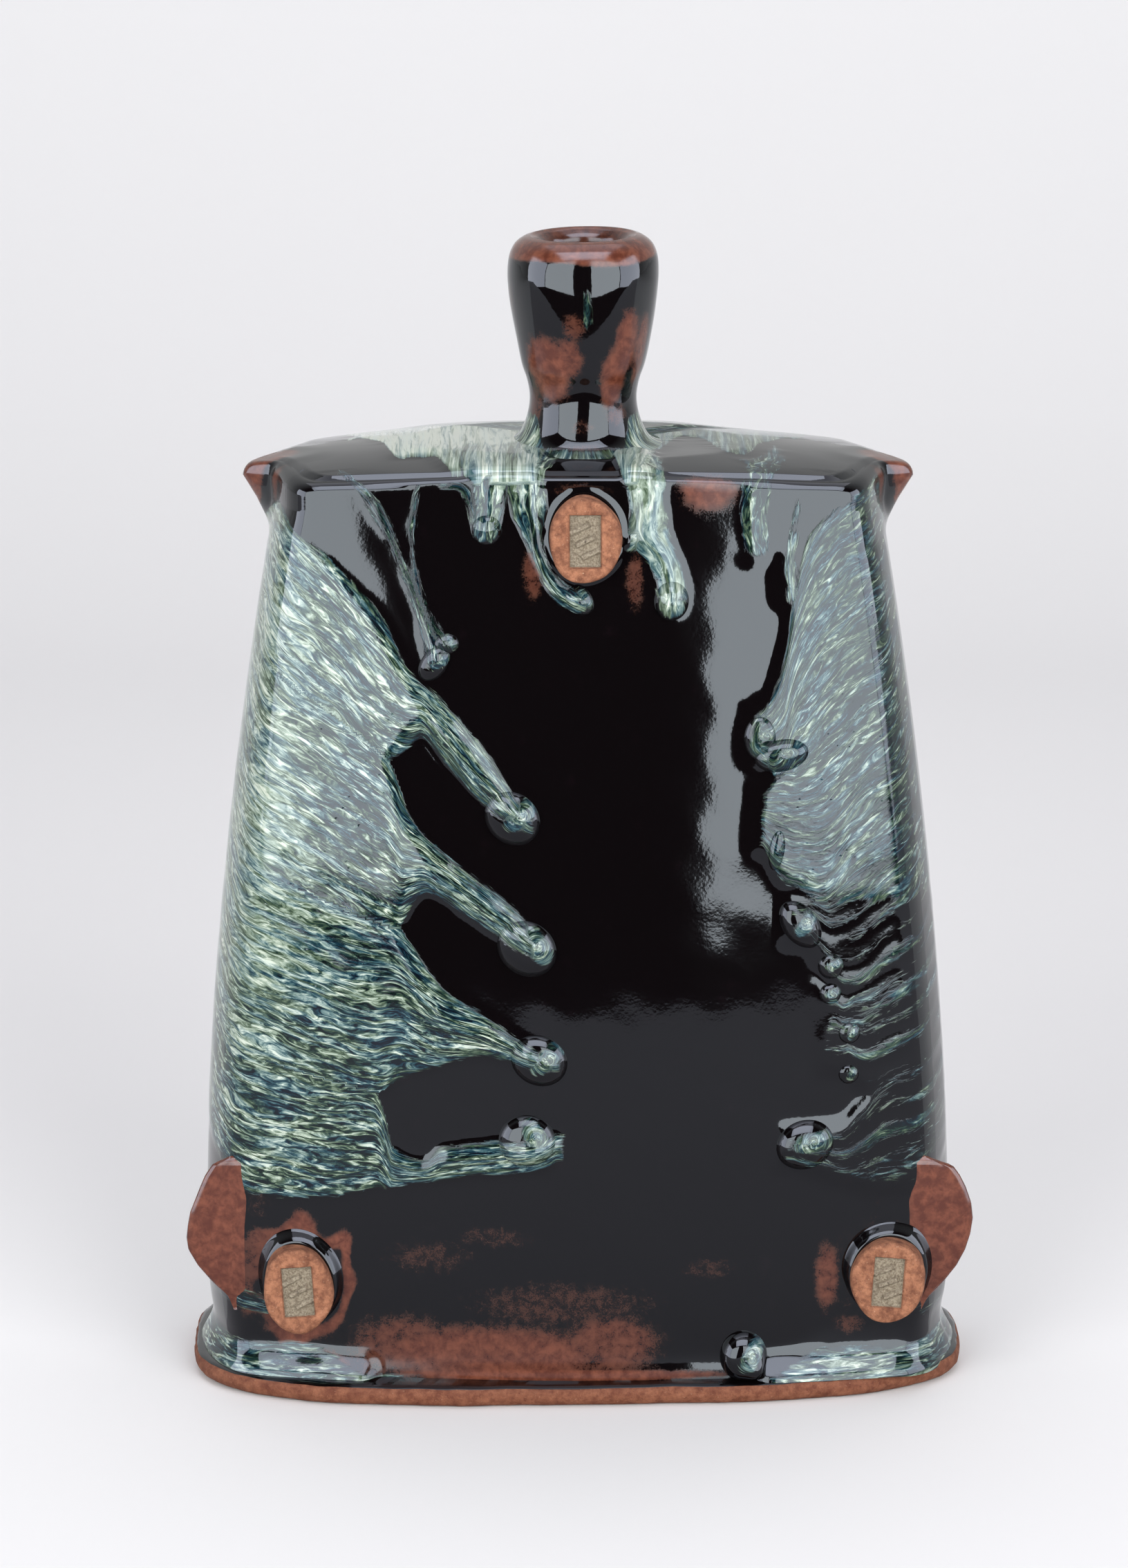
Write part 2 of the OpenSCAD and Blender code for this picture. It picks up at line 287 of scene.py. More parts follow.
RIGHT_STREAMS = [
    (RIGHT_TOP, [(44, 161), (47, 156)] + RIGHT_KL, 44, 0.30),
    ([(44, 151), (49, 155.5)] + RIGHT_KL, [(44, 139), (48, 131), (53, 127.5)] + RIGHT_LM,
     45.5, 0.22),
    ([(53, 124)] + RIGHT_LM, [(55, 117), (61, 106)] + RIGHT_MN, 53, 0.0),
    ([(62, 100), (64, 98.5)] + RIGHT_MN, [(65, 84), (69, 79)] + RIGHT_NQ, 62, 0.0),
    ([(52, 66), (63, 66), (69, 72)] + RIGHT_NQ, RIGHT_END, 52, 0.1),
]

# Runs that come over the front edge: points (x, h, half width), and how pale.
RUNS = [
    ([(-56, 234, 0.9), (-53.7, 228, 0.8), (-50, 223, 0.8), (-46.3, 217, 0.9), (-41, 205, 1.1),
      (-36, 192, 1.5), (-33.5, 184, 2.2)], 0.0),
    ([(-37.8, 226, 0.5), (-39, 218, 0.6), (-39.5, 212, 0.6), (-38, 202, 0.8),
      (-34.6, 193, 1.1), (-31.5, 187.5, 1.8)], 0.05),
    ([(-20.5, 245, 4), (-20.5, 236, 3.4), (-20.5, 228, 3.2), (-21, 220, 3.4),
      (-21.5, 215.5, 3.2)], 0.3),
    ([(-32, 225.6, 0.6), (-28, 225.2, 0.7), (-25.8, 221.5, 0.8), (-24.5, 216, 0.9)], 0.3),
    ([(-10, 252, 5.5), (-11, 240, 5.3), (-12, 229, 4.6), (-12, 221, 4), (-10.6, 215, 2.6),
      (-9.8, 210, 1.6), (-7.6, 204.5, 1.6), (-4.5, 200.3, 1.8), (0, 198, 2.2)], 0.5),
    ([(12.5, 252, 5.5), (14.5, 240, 4.8), (16, 229, 4.3), (16.5, 221, 4.2), (16.5, 214, 4.4),
      (20, 208, 3.4), (22, 202, 3.4), (22, 197.8, 3.4)], 0.95),
    ([(15, 214.5, 2.4), (12, 212, 2.2)], 0.8),
    ([(-92, 24, 1.6), (-86, 23.5, 2.2), (-79, 22, 2.2), (-74, 21, 1.6)], 0.1),
    ([(84, 20.5, 1.6), (90, 22, 2.4), (96, 23, 2.6)], 0.1),
    ([(44, 246, 5), (43.5, 236, 3.6), (42.5, 226, 2.9), (41.5, 218, 3.0), (42, 211.5, 3.0)],
     0.2),
    ([(52, 221, 0.6), (50.8, 212, 0.8), (50.2, 205, 1.4), (51, 199, 1.7)], 0.3),
    ([(45.5, 171, 1.3), (42.6, 167, 1.5), (42.6, 162.5, 1.6), (46, 160, 1.5), (49, 162, 1)], 0.3),
]

# Where the black glaze breaks to rust: (x, h, half width, half height, strength).
RUST = [
    (31, 226, 8, 8, 1.0), (30, 236, 6, 5, 0.8), (0, 235, 8, 4, 0.62), (0, 224.5, 9, 2.5, 0.6),
    (-10.5, 205, 3, 8, 0.75), (13.5, 203, 2.6, 8, 0.72), (57.5, 221.5, 3.4, 2.2, 0.7),
    (65.5, 221, 3, 5, 0.7), (-66, 224, 3, 5, 0.6),
    (-22, 11, 36, 9, 0.88), (-42, 13, 15, 9, 0.75), (8, 14, 14, 9, 0.78), (-4, 24, 26, 7, 0.56),
    (-36, 36, 12, 5, 0.52), (-20, 41, 11, 3, 0.52), (-77.5, 47, 3.5, 5, 0.56),
    (-78, 39, 3, 4, 0.55), (-64, 9, 12, 3, 0.7),
    (60.5, 30, 3.6, 10, 0.8), (66, 17.5, 5, 3, 0.62), (31, 33, 8, 3, 0.47),
    (-5, 6.3, 46, 1.7, 1.1), (-87, 39, 4.2, 17, 0.95), (86.5, 41, 4, 17, 0.95),
]
# Radius and width of the rusty ring that a pad has round it.
HALO_R, HALO_W = 12.2, 3.2


def wiggle(a, h, seed):
    """Unevenness of the glaze's edge."""
    return 1.3 * ripple(a, h, 0, 11, seed) + 0.6 * ripple(a, h, 0, 4.5, seed + 1)


def stream_field(a, h, streams, side):
    """cover, psi, phi and pale of the streams on one side, which end towards the middle.

    phi runs along the flow and psi across it; a stream has the same psi all its length, so
    its streaks close up where it narrows.
    """
    best = np.full(a.shape, 1e9)
    psi, phi, pale = np.zeros(a.shape), np.zeros(a.shape), np.zeros(a.shape)
    table = np.arange(-262, 262, 0.5)
    start = 100.0 * side
    ends_here = np.full(a.shape, BARE)
    edges = []
    for upper, lower, end, paleness in streams:
        high, low = curve(a, upper), curve(a, lower)
        middle_t = (curve(table, upper) + curve(table, lower)) / 2
        slope_t = np.clip(np.gradient(middle_t, table), -2, 2)
        lean_t = 1 / np.sqrt(1 + slope_t**2)
        source = np.ptp([curve(np.array([side * 80.0]), e)[0] for e in (upper, lower)])
        width = np.maximum(high - low, 0.5)
        middle = (high + low) / 2
        lean = np.interp(a, table, lean_t)
        off = np.maximum(h - high, low - h) * lean
        pull = np.clip(width / source, 0.02, 1.0) ** 0.45
        across = start - source / 2 + (h - middle) / width * source * pull
        along = side * np.interp(a, table, np.cumsum(0.5 / lean_t))
        use = off < best
        best = np.where(use, off, best)
        psi, phi = np.where(use, across, psi), np.where(use, along, phi)
        pale = np.where(use, paleness, pale)
        ends_here = np.where(use, (a - end) * side, ends_here)
        edges.append((high, low, lean))
        start -= source
    cover = np.minimum(edges[0][0] - h, 30) * edges[0][2]
    cover = np.minimum(cover, (h - edges[-1][1]) * edges[-1][2])
    # Between neighbours the black shows where their edges part, up to the fork of the two.
    for k in range(len(streams) - 1):
        low, high, lean = edges[k][1], edges[k + 1][0], edges[k][2]
        opening = low - high
        shared = smoothstep(0.2, 1.5, opening)
        tip = max(side * p[0] for p in streams[k][1] if p not in streams[k + 1][0])
        beyond = np.clip(a * side - tip, 0, None)
        gap = np.maximum(h - low, high - h) * lean
        gap = np.where(gap > 0, np.hypot(gap, beyond), gap)
        gap = np.where((shared < 0.01) & (beyond > 0), np.maximum(gap, beyond), gap)
        cover = np.minimum(cover, gap)
    cover = np.minimum(cover, ends_here + 1.5)
    return cover, psi, phi, pale


def run_field(x, h, runs):
    """The same for the runs over the front edge."""
    cover = np.full(x.shape, BARE)
    psi, phi, pale = np.zeros(x.shape), np.zeros(x.shape), np.full(x.shape, 0.5)
    for k, (points, paleness) in enumerate(runs):
        path = spline(points)
        steps = np.linalg.norm(np.diff(path[:, :2], axis=0), axis=1)
        along = np.concatenate([[0], np.cumsum(steps)])
        way = unit(np.gradient(path[:, :2], axis=0))
        best = np.full(x.shape, 1e9)
        for i in range(len(path)):
            dx, dh = x - path[i, 0], h - path[i, 1]
            gap = np.hypot(dx, dh) - path[i, 2]
            use = gap < best
            best = np.where(use, gap, best)
            win = use & (-gap > cover)
            side = dx * way[i, 1] - dh * way[i, 0]
            psi = np.where(win, side / max(path[i, 2], 1.5) * 3.4 + 40 * (k + 1), psi)
            phi = np.where(win, along[i] + dx * way[i, 0] + dh * way[i, 1], phi)
            pale = np.where(win, paleness, pale)
            cover = np.where(win, -gap, cover)
    return cover, psi, phi, pale


# The dome's pale glaze: its front edge at x = 0, its half width, and the black wedges in it
# (middle x, how far back it reaches, half width, steepness of its sides).
DOME_EDGE_Y, DOME_GLAZE_HALF = -38, 56
DOME_WEDGES = [(26, 36, 7.5, 2), (1, 40, 9, 4)]


def dome_field(x, y):
    """On the dome the glaze covers the rear half and hangs forwards in fingers."""
    edge = DOME_EDGE_Y + 43 * (x / 50) ** 2
    for middle, back, half, power in DOME_WEDGES:
        edge = edge + back * np.exp(-(((x - middle) / half) ** power))
    edge = edge + 4 * ripple(x, 0, 0, 15, 5)
    edge = edge + 4.2 * ripple(x, 0, 0, 4.2, 6)
    sides = DOME_GLAZE_HALF - np.abs(x) + 2 * ripple(x, y, 0, 9, 7)
    return np.minimum(y - edge, sides), x + 300, -0.3 * y, np.full(x.shape, 1.0)


# Distances round the body where the back's pale glaze starts, and where it is palest.
BACK_START, BACK_PALEST = 130, 180


def back_field(a, x, h):
    """The back was uppermost in the kiln: pale glaze lies all over it and runs to its edges."""
    cover = np.clip(6 * (np.abs(a) - BACK_START), BARE, 90)
    across = h + 0.0012 * x**2 + 9 * ripple(x, h, 0, 75, 62) + 2 * ripple(x, h, 0, 22, 63)
    middle = smoothstep(BACK_START - 2, BACK_PALEST, np.abs(a))
    pale = 0.36 + 0.42 * middle + 0.22 * ripple(x, h, 0, 48, 64)
    return cover, across + 700, 0.9 * x, pale


def pool_top(x):
    """Top of the pale glaze that pooled on the foot's ledge, below the front."""
    left = 5.5 + 6.5 * smoothstep(-47, -66, x)
    right = 5.5 + 6.5 * smoothstep(42, 62, x)
    return np.where(x < 0, left, right) - 3.0 * (np.abs(x - 2) < 44)


def rust_field(x, h, front):
    """How much the black breaks to rust, where front is 1."""
    value = np.zeros(x.shape)
    for cx, ch, rx, rh, strength in RUST:
        away = np.sqrt(((x - cx) / rx) ** 2 + ((h - ch) / rh) ** 2)
        value = np.maximum(value, strength * (1 - smoothstep(0.45, 1.5, away)))
    for node, strength in (("lower_left_pad", 0.95), ("lower_right_pad", 0.35)):
        low, high = box_mm(node)
        cx, ch = (low[0] + high[0]) / 2, (low[2] + high[2]) / 2
        away = np.hypot(x - cx, (h - ch) * 0.9) + 2.4 * ripple(x, h, 0, 11, 65)
        ring = np.abs(away - HALO_R) / HALO_W
        value = np.maximum(value, strength * (1 - smoothstep(0.4, 1.5, ring)))
    return value * front


def glaze_fields(p, a, h, on_dome):
    """All fields at points p: cover, phi, psi, pale and rust."""
    x, y = p[..., 0], p[..., 1]
    front = 1 - smoothstep(-31, -23, y)
    layers = [
        stream_field(a, h, LEFT_STREAMS, -1),
        stream_field(a, h, RIGHT_STREAMS, 1),
        back_field(a, x, h),
    ]
    run = run_field(x, h, RUNS)
    layers.append((np.where(y < 0, run[0], BARE),) + run[1:])
    dome = dome_field(x, y)
    layers.append((np.where(on_dome, dome[0], BARE),) + dome[1:])
    near = np.where(y < 2, pool_top(x) - h, 8.5 - h)
    layers.append((np.where(on_dome, BARE, near), h * 1.3 - 400, 0.8 * a,
                   np.full(x.shape, 0.42)))
    # The layer that covers a point most gives all its fields.
    merged = layers[0]
    for layer in layers[1:]:
        use = layer[0] > merged[0]
        merged = [np.where(use, new, old) for new, old in zip(layer, merged)]
    cover, psi, phi, pale = merged
    cover = cover + 0.35 * wiggle(a, h, 21)
    # Round the left front corner the glaze is paler.
    edge = smoothstep(-50, -78, a) * smoothstep(40, 120, h) * smoothstep(-165, -120, a)
    pale = pale + 0.50 * edge + 0.10 * ripple(x, y, h, 36, 22)
    # Low on the right the glaze thins out to separate strands on bare black.
    right_side = (a < 140) * (h > 12)
    low = smoothstep(140, 122, h) * smoothstep(30, 50, a) * right_side
    strands = -0.42 + 0.80 * ripple(0.10 * phi, psi, 0, 3.4, 61)
    cover = np.where(low > 0, (1 - low) * cover + low * np.minimum(cover, strands), cover)
    pale = pale * (1 - low) + 0.36 * low
    thin_side = smoothstep(34, 44, a) * right_side
    cover = np.where(thin_side > 0, np.minimum(cover, 4.0 - 3.2 * thin_side), cover)
    return cover, phi, psi, pale, rust_field(x, h, front)


# ---------- the body's surface as one grid, cut into the slabs afterwards ----------

rows_z = FOOT_T + (UNDER_Z - FOOT_T) * np.linspace(0, 1, N_WALL + 1)


def slab_top(x):
    """Height of the walls' upper edge."""
    return UNDER_Z - FALL_Z * (x / FALL_X) ** 2


def body_grid():
    """Points of the bare outside, with their distance round (a) and height over (h)."""
    share = ((rows_z - FOOT_T) / (UNDER_Z - FOOT_T))[:, None]
    x, y = outline(rows_z)
    z = FOOT_T + share * (slab_top(x) - FOOT_T)
    wall = xyz(x, y, z)
    edge_x, edge_y = x[-1], y[-1]
    edge_z = dome_z(edge_x, edge_y)
    deep, wide = half_d(UNDER_Z), half_w(UNDER_Z)
    upper = []
    for turn in np.linspace(0, math.pi / 2, N_RIM + 1):
        inset = RIM_R * (1 - math.cos(turn))
        drop = RIM_R * (1 - math.sin(turn))
        ring = (edge_x * (1 - inset / wide), edge_y * (1 - inset / deep))
        upper.append(xyz(ring[0], ring[1], edge_z - drop))
    for s in np.linspace(1, DOME_END, N_DOME + 1)[1:]:
        rx, ry = edge_x * (1 - RIM_R / wide) * s, edge_y * (1 - RIM_R / deep) * s
        upper.append(xyz(rx, ry, dome_z(rx, ry)))
    grid = np.concatenate([wall, np.array(upper)], axis=0)
    step = np.hypot(np.diff(grid[..., 0], axis=1), np.diff(grid[..., 1], axis=1))
    round_it = np.concatenate([np.zeros((len(grid), 1)), np.cumsum(step, axis=1)], axis=1)
    a = round_it - round_it[:, [MIDDLE]]
    a[N_WALL + 1 :] = a[N_WALL]
    climb = np.linalg.norm(np.diff(grid[N_WALL:], axis=0), axis=-1)
    h = grid[..., 2].copy()
    h[N_WALL + 1 :] = h[N_WALL] + np.cumsum(climb, axis=0)
    return grid, a, h


# Thickness of the pale glaze, of the ropes it makes on the front per mm inside their edges,
# and of the ridge along the right field's edge.
RUN_THICK, ROPE, RIDGE = 0.30, 0.24, 0.58
# Wobble of the walls, how much flatter the front is below its upper edge, and the reach and
# the top of the pool of glaze on the foot's ledge.
WALL_WOBBLE, FLAT_TOP = 0.05, 1.6
POOL_OUT, POOL_TOP = 4.6, 15.0


def pool(x):
    """Where glaze lies in the corner between the front and the foot, from 0 to 1."""
    left = 1 - smoothstep(-52, -47, x)
    right = smoothstep(40, 46, x)
    return np.clip(left + right, 0, 1)


def soften(field, times):
    """Rounds a field off over the grid, as surface tension does with thick glaze."""
    for _ in range(times):
        field = np.pad(field, 1, mode="edge")
        field = (field[:-2] + 2 * field[1:-1] + field[2:]) / 4
        field = (field[:, :-2] + 2 * field[:, 1:-1] + field[:, 2:]) / 4
    return field


def relief(p, a, h, cover, rounding=6):
    """How far the glaze stands off the bare slab at each point."""
    x, y, z = p[..., 0], p[..., 1], p[..., 2]
    spur = smoothstep(-50, -28, x) * (1 - smoothstep(20, 40, x))
    right = smoothstep(36, 42, x) * (z < 208) * (y < -10)
    thick = RUN_THICK * smoothstep(-0.3, 2.0, cover) * (1 + 0.12 * ripple(x, y, z, 11, 31))
    thick = thick * (1 - right) + ROPE * np.clip(cover, 0, 4) * spur
    thick = soften(thick + RIDGE * smoothstep(-4.8, 0.4, cover) * right, rounding)
    wobble = WALL_WOBBLE * ripple(x, y, z, 46, 32) + 0.014 * ripple(x, y, z, 12, 33)
    flat = FLAT_TOP * smoothstep(188, 222, z) * np.clip(1 - (x / 66) ** 2, 0, 1) * (y < -20)
    flat = flat * (1 - smoothstep(UNDER_Z + 3, LANDING_Z - 2, z))
    low = 1 - smoothstep(FOOT_T, POOL_TOP, z)
    fillet = 0.9
    at_foot = low**2.2 * (fillet + (POOL_OUT - fillet) * np.where(y < 0, pool(x), 0.8))
    return thick + wobble + at_foot - flat


grid, grid_a, grid_h = body_grid()
on_dome = np.zeros(grid_h.shape, bool)
on_dome[N_WALL + N_RIM // 2 + 1 :] = True
sideways, upwards = xyz(grid[..., 0], grid[..., 1] * 2, 0), np.array([0.0, 0.0, 1.0])
bare_normal = grid_normals(grid, np.where(on_dome[..., None], upwards, sideways))
cover, flow_phi, flow_psi, paleness, rust = glaze_fields(grid, grid_a, grid_h, on_dome)
out_by = relief(grid, grid_a, grid_h, cover)
out_by[:, 0] = out_by[:, -1] = (out_by[:, 0] + out_by[:, -1]) / 2
shape = grid + bare_normal * out_by[..., None]
shape_normal = grid_normals(shape, bare_normal)
ends = unit(shape_normal[:, 0] + shape_normal[:, -1])
shape_normal[:, 0] = shape_normal[:, -1] = ends
FLOW = xyz(flow_phi, flow_psi, 0)
LOOK = xyz(cover, paleness, rust)


# ---------- meshes ----------


NO_GLAZE = (BARE, 0.5, 0.0)


class Shape:
    """Points, faces and fields collected for one mesh; hidden points need no fields."""

    def __init__(self):
        self.points, self.normals, self.flow, self.look, self.faces = [], [], [], [], []
        self.count = 0

    def add(self, points, normals=0.0, flow=0.0, look=NO_GLAZE):
        """Adds points with their fields and returns the first one's number."""
        for kept, given in ((self.points, points), (self.normals, normals), (self.flow, flow),
                            (self.look, look)):
            kept.append(np.broadcast_to(given, points.shape).reshape(-1, 3))
        first = self.count
        self.count += points.size // 3
        return first

    def mesh(self, name, material, keep_normals=False):
        data = bpy.data.meshes.new(name)
        points = np.vstack(self.points)
        data.from_pydata((points * MM).tolist(), [], self.faces)
        for label, rows in (("flow", self.flow), ("look", self.look)):
            layer = data.attributes.new(label, "FLOAT_VECTOR", "POINT")
            layer.data.foreach_set("vector", np.vstack(rows).astype(np.float32).ravel())
        data.shade_smooth()
        if keep_normals:
            given = np.vstack(self.normals)
            data.normals_split_custom_set_from_vertices(given.tolist())
        obj = bpy.data.objects.new(name, data)
        bpy.context.scene.collection.objects.link(obj)
        data.materials.append(material)
        return obj


def quads(first, rows, cols, flip=False, wrap=False):
    """Faces of a grid of points; wrap joins the last column to the first."""
    out = []
    last = cols if wrap else cols - 1
    for r in range(rows - 1):
        for c in range(last):
            d = (c + 1) % cols
            face = (first + r * cols + c, first + r * cols + d,
                    first + (r + 1) * cols + d, first + (r + 1) * cols + c)
            out.append(face[::-1] if flip else face)
    return out


def close_rings(s, first, rows, cols):
    """Faces over a grid of closed rings, the last of which meets the first."""
    s.faces += quads(first, rows, cols, wrap=True)
    last = first + (rows - 1) * cols
    for c in range(cols):
        d = (c + 1) % cols
        s.faces.append((last + c, last + d, first + d, first + c))


def shell(name, outside, inside, material, coarse=1):
    """A closed shell between two grids, given as points, normals and, outside, the fields.

    Only every coarse-th point of the inside is used.
    """
    s = Shape()
    rows, cols = outside[0].shape[:2]
    out = s.add(*outside)
    s.faces += quads(out, rows, cols)
    inside = [values[::coarse, ::coarse] for values in inside]
    in_rows, in_cols = inside[0].shape[:2]
    ins = s.add(*inside)
    s.faces += quads(ins, in_rows, in_cols, flip=True)

    def outer_at(r, c):
        return out + r * cols + c

    def inner_at(r, c):
        return ins + r * in_cols + c

    for r in range(in_rows - 1):
        for c, turn in ((0, False), (in_cols - 1, True)):
            fine = [outer_at(r * coarse + k, c * coarse) for k in range(coarse + 1)]
            face = fine + [inner_at(r + 1, c), inner_at(r, c)]
            s.faces.append(face[::-1] if turn else face)
    for c in range(in_cols - 1):
        for r, turn in ((0, True), (in_rows - 1, False)):
            fine = [outer_at(r * coarse, c * coarse + k) for k in range(coarse + 1)]
            face = fine + [inner_at(r, c + 1), inner_at(r, c)]
            s.faces.append(face[::-1] if turn else face)
    return s.mesh(name, material, keep_normals=True)


INSIDE_COARSE = 4


def slab(name, columns, inner, material):
    """A slab between the grid's columns, from the foot to the rim."""
    pick = np.ix_(range(N_WALL + 1), np.array(columns) % LAST_COLUMN)
    outside = (shape[pick], shape_normal[pick], FLOW[pick], LOOK[pick])
    return shell(name, outside, (inner, -bare_normal[pick]), material, INSIDE_COARSE)


def bare_wall(columns):
    pick = np.array(columns) % LAST_COLUMN
    return grid[: N_WALL + 1][:, pick]


def face_inner(columns, sign):
    """Inside of the front (sign -1) or back slab, facing each of its outer columns."""
    wall = bare_wall(columns)
    level = rows_z[:, None]
    reach = side_x(seam_y(level), level)
    x = wall[..., 0] * (reach - WALL) / reach
    y = seam_y(level) + bow(level) * np.clip(1 - (x / (reach - WALL)) ** 2, 0, None)
    return xyz(x, sign * y, wall[..., 2])


def side_inner(columns):
    wall = bare_wall(columns)
    return xyz(wall[..., 0] - np.sign(wall[..., 0]) * WALL, wall[..., 1], wall[..., 2])


def shoulder(material):
    """Shoulder slab: rim, dome, the passage's wall and the underside, as one ring of rings."""
    s = Shape()
    pick = (slice(N_WALL, None), slice(LAST_COLUMN))
    top = shape[pick]
    first = s.add(top, shape_normal[pick], FLOW[pick], LOOK[pick])
    angle = np.arctan2(top[-1, :, 1] / half_d(UNDER_Z), top[-1, :, 0] / half_w(UNDER_Z))
    hole_x, hole_y = NECK_X + THROAT_R * np.cos(angle), THROAT_R * np.sin(angle)
    ring_low = xyz(hole_x, hole_y, UNDER_Z)
    half = 0.5 * (ring_low[:, :2] + grid[N_WALL, :LAST_COLUMN, :2] * 0.95)
    ring_mid = np.concatenate([half, slab_top(half[:, [0]])], axis=1)
    below = (xyz(hole_x, hole_y, LANDING_Z - 0.3), ring_low, ring_mid)
    for ring in below:
        s.add(ring, (0.0, 0.0, -1.0))
    close_rings(s, first, len(top) + len(below), LAST_COLUMN)
    return s.mesh("shoulder_look", material, keep_normals=True)


def loft(s, rings, flow=0.0, look=NO_GLAZE, flip=False):
    """A closed tube through rings of equal length, capped with fans."""
    rings = np.array(rings)
    rows, cols = rings.shape[:2]
    flow, look = np.broadcast_to(flow, rings.shape), np.broadcast_to(look, rings.shape)
    first = s.add(rings, 0.0, flow, look)
    s.faces += quads(first, rows, cols, flip=flip, wrap=True)
    for r, turn in ((0, not flip), (rows - 1, flip)):
        middle = s.add(rings[r].mean(axis=0), 0.0, flow[r, 0], look[r, 0])
        for c in range(cols):
            a, b = first + r * cols + c, first + r * cols + (c + 1) % cols
            s.faces.append((middle, a, b) if turn else (middle, b, a))


# ---------- the neck ----------

THROAT_R = 9.0
NECK_SIDES = 128
# Radius and height above the landing, up the outside and down the throat.
NECK_OUTSIDE = [(22.3, -0.6), (19.9, 0.0), (17.6, 0.7), (15.8, 1.9), (14.5, 3.9), (13.5, 6.6),
                (12.9, 9.6), (12.85, 12.6), (13.5, 16), (14.8, 19.9), (16.3, 27), (17.3, 33),
                (17.85, 38.4), (17.9, 41.9), (17.4, 45.4), (16.1, 48.2), (14.1, 49.8),
                (12.3, 50.4)]
NECK_INSIDE = [(10.9, 49.8), (9.6, 48.4), (9.1, 46.5), (9, 43), (9.2, 39), (10.8, 35.4),
               (12.4, 29), (11, 21), (9, 14), (9, 6), (9, -0.6)]
# Patches of rust on the neck: (angle from the front, height, half angle, half height, strength).
NECK_RUST = [(-36, 20, 28, 9, 1.05), (-14, 23, 16, 6, 0.85), (-8, 31, 12, 4, 0.7),
             (30, 18, 16, 9, 0.95), (40, 27, 14, 9, 1.0), (60, 24, 12, 10, 0.9),
             (-62, 10, 16, 6, 0.7), (38, 9, 20, 3, 0.62), (0, 6.5, 14, 2.2, 0.56),
             (110, 20, 26, 10, 0.9), (170, 24, 30, 8, 0.9), (-120, 17, 30, 9, 0.9),
             (0, 1.2, 26, 1.6, 0.55), (-80, 36, 10, 4, 0.6)]


def neck_fields(angle, height, inside):
    """Fields of the neck, from the angle round it (front is 0) and the height up it."""
    rust_value = np.zeros(angle.shape)
    for at, up, half_a, half_h, strength in NECK_RUST:
        turn = (angle - at + 180) % 360 - 180
        gone = np.sqrt((turn / half_a) ** 2 + ((height - up) / half_h) ** 2)
        rust_value = np.maximum(rust_value, strength * (1 - smoothstep(0.5, 1.45, gone)))
    band = 1 - smoothstep(2.0, 3.9, np.abs(height - 48.5 + 0.5 * np.sin(np.radians(3 * angle))))
    rust_value = np.maximum(rust_value, 1.05 * band)
    rust_value = np.where(inside, 0.8 * smoothstep(36, 47, height), rust_value)
    turn = np.abs((angle + 180) % 360 - 180)
    drip = 0.9 - np.abs((angle - 2.5) * 0.3) - smoothstep(38, 44, height) * 3
    drip = np.where(height < 31.5, drip - (31.5 - height), drip)
    skirt = smoothstep(34, 60, turn) * 8 - height * 1.2 + 1.5
    back = smoothstep(100, 150, turn) * 60 - height - 8
    cover = np.maximum(np.maximum(drip, skirt), back - 6)
    cover = np.where(inside, -30.0, cover)
    look = xyz(cover, np.where(drip > skirt, 0.4, 0.7), rust_value)
    return xyz(height, angle * 0.3 + 500, 0), look


def neck(material):
    s = Shape()
    outside = spline(NECK_OUTSIDE, 7)
    lip = spline([NECK_OUTSIDE[-1], NECK_INSIDE[0]], 4)[1:-1]
    inside = spline(NECK_INSIDE, 5)
    profile = np.vstack([outside, lip, inside])
    is_in = np.arange(len(profile)) >= len(outside) + len(lip)
    angle = np.linspace(0, 2 * math.pi, NECK_SIDES, endpoint=False)[None, :]
    r, up = profile[:, [0]], profile[:, [1]]
    x, y, z = NECK_X + r * np.sin(angle), -r * np.cos(angle), LANDING_Z + up + 0 * angle
    wob = 0.16 * ripple(x, y, z, 17, 41) * smoothstep(0, 6, up) * np.where(is_in, 0, 1)[:, None]
    lean = smoothstep(38, 50, up)
    r = r + wob - 0.25 * lean * np.cos(2 * angle)
    x, y = NECK_X + r * np.sin(angle), -r * np.cos(angle)
    z = z + 0.25 * lean * np.sin(angle + 0.6)
    flow, look = neck_fields(np.degrees(angle) + 0 * r, up + 0 * angle, is_in[:, None])
    look[..., 0] = np.minimum(look[..., 0], 20)
    first = s.add(xyz(x, y, z), 0.0, flow, look)
    close_rings(s, first, len(profile), NECK_SIDES)
    return s.mesh("neck_look", material)


# ---------- foot, lugs and fins ----------

FOOT_SIDES = 288
# The foot's edge from below: distance in from the edge, and height; glaze lies on its ledge.
FOOT_EDGE = [(60, 0.4), (8, 0.3), (3.4, 0.0), (1.9, 0.25), (0.8, 0.9), (0.2, 1.9), (0.05, 2.8),
             (0.1, 3.6), (0.25, 4.3), (0.7, 4.8), (1.5, 5.02), (2.4, 5.1), (14, 5.1)]
GLAZED_ABOVE = 4.72


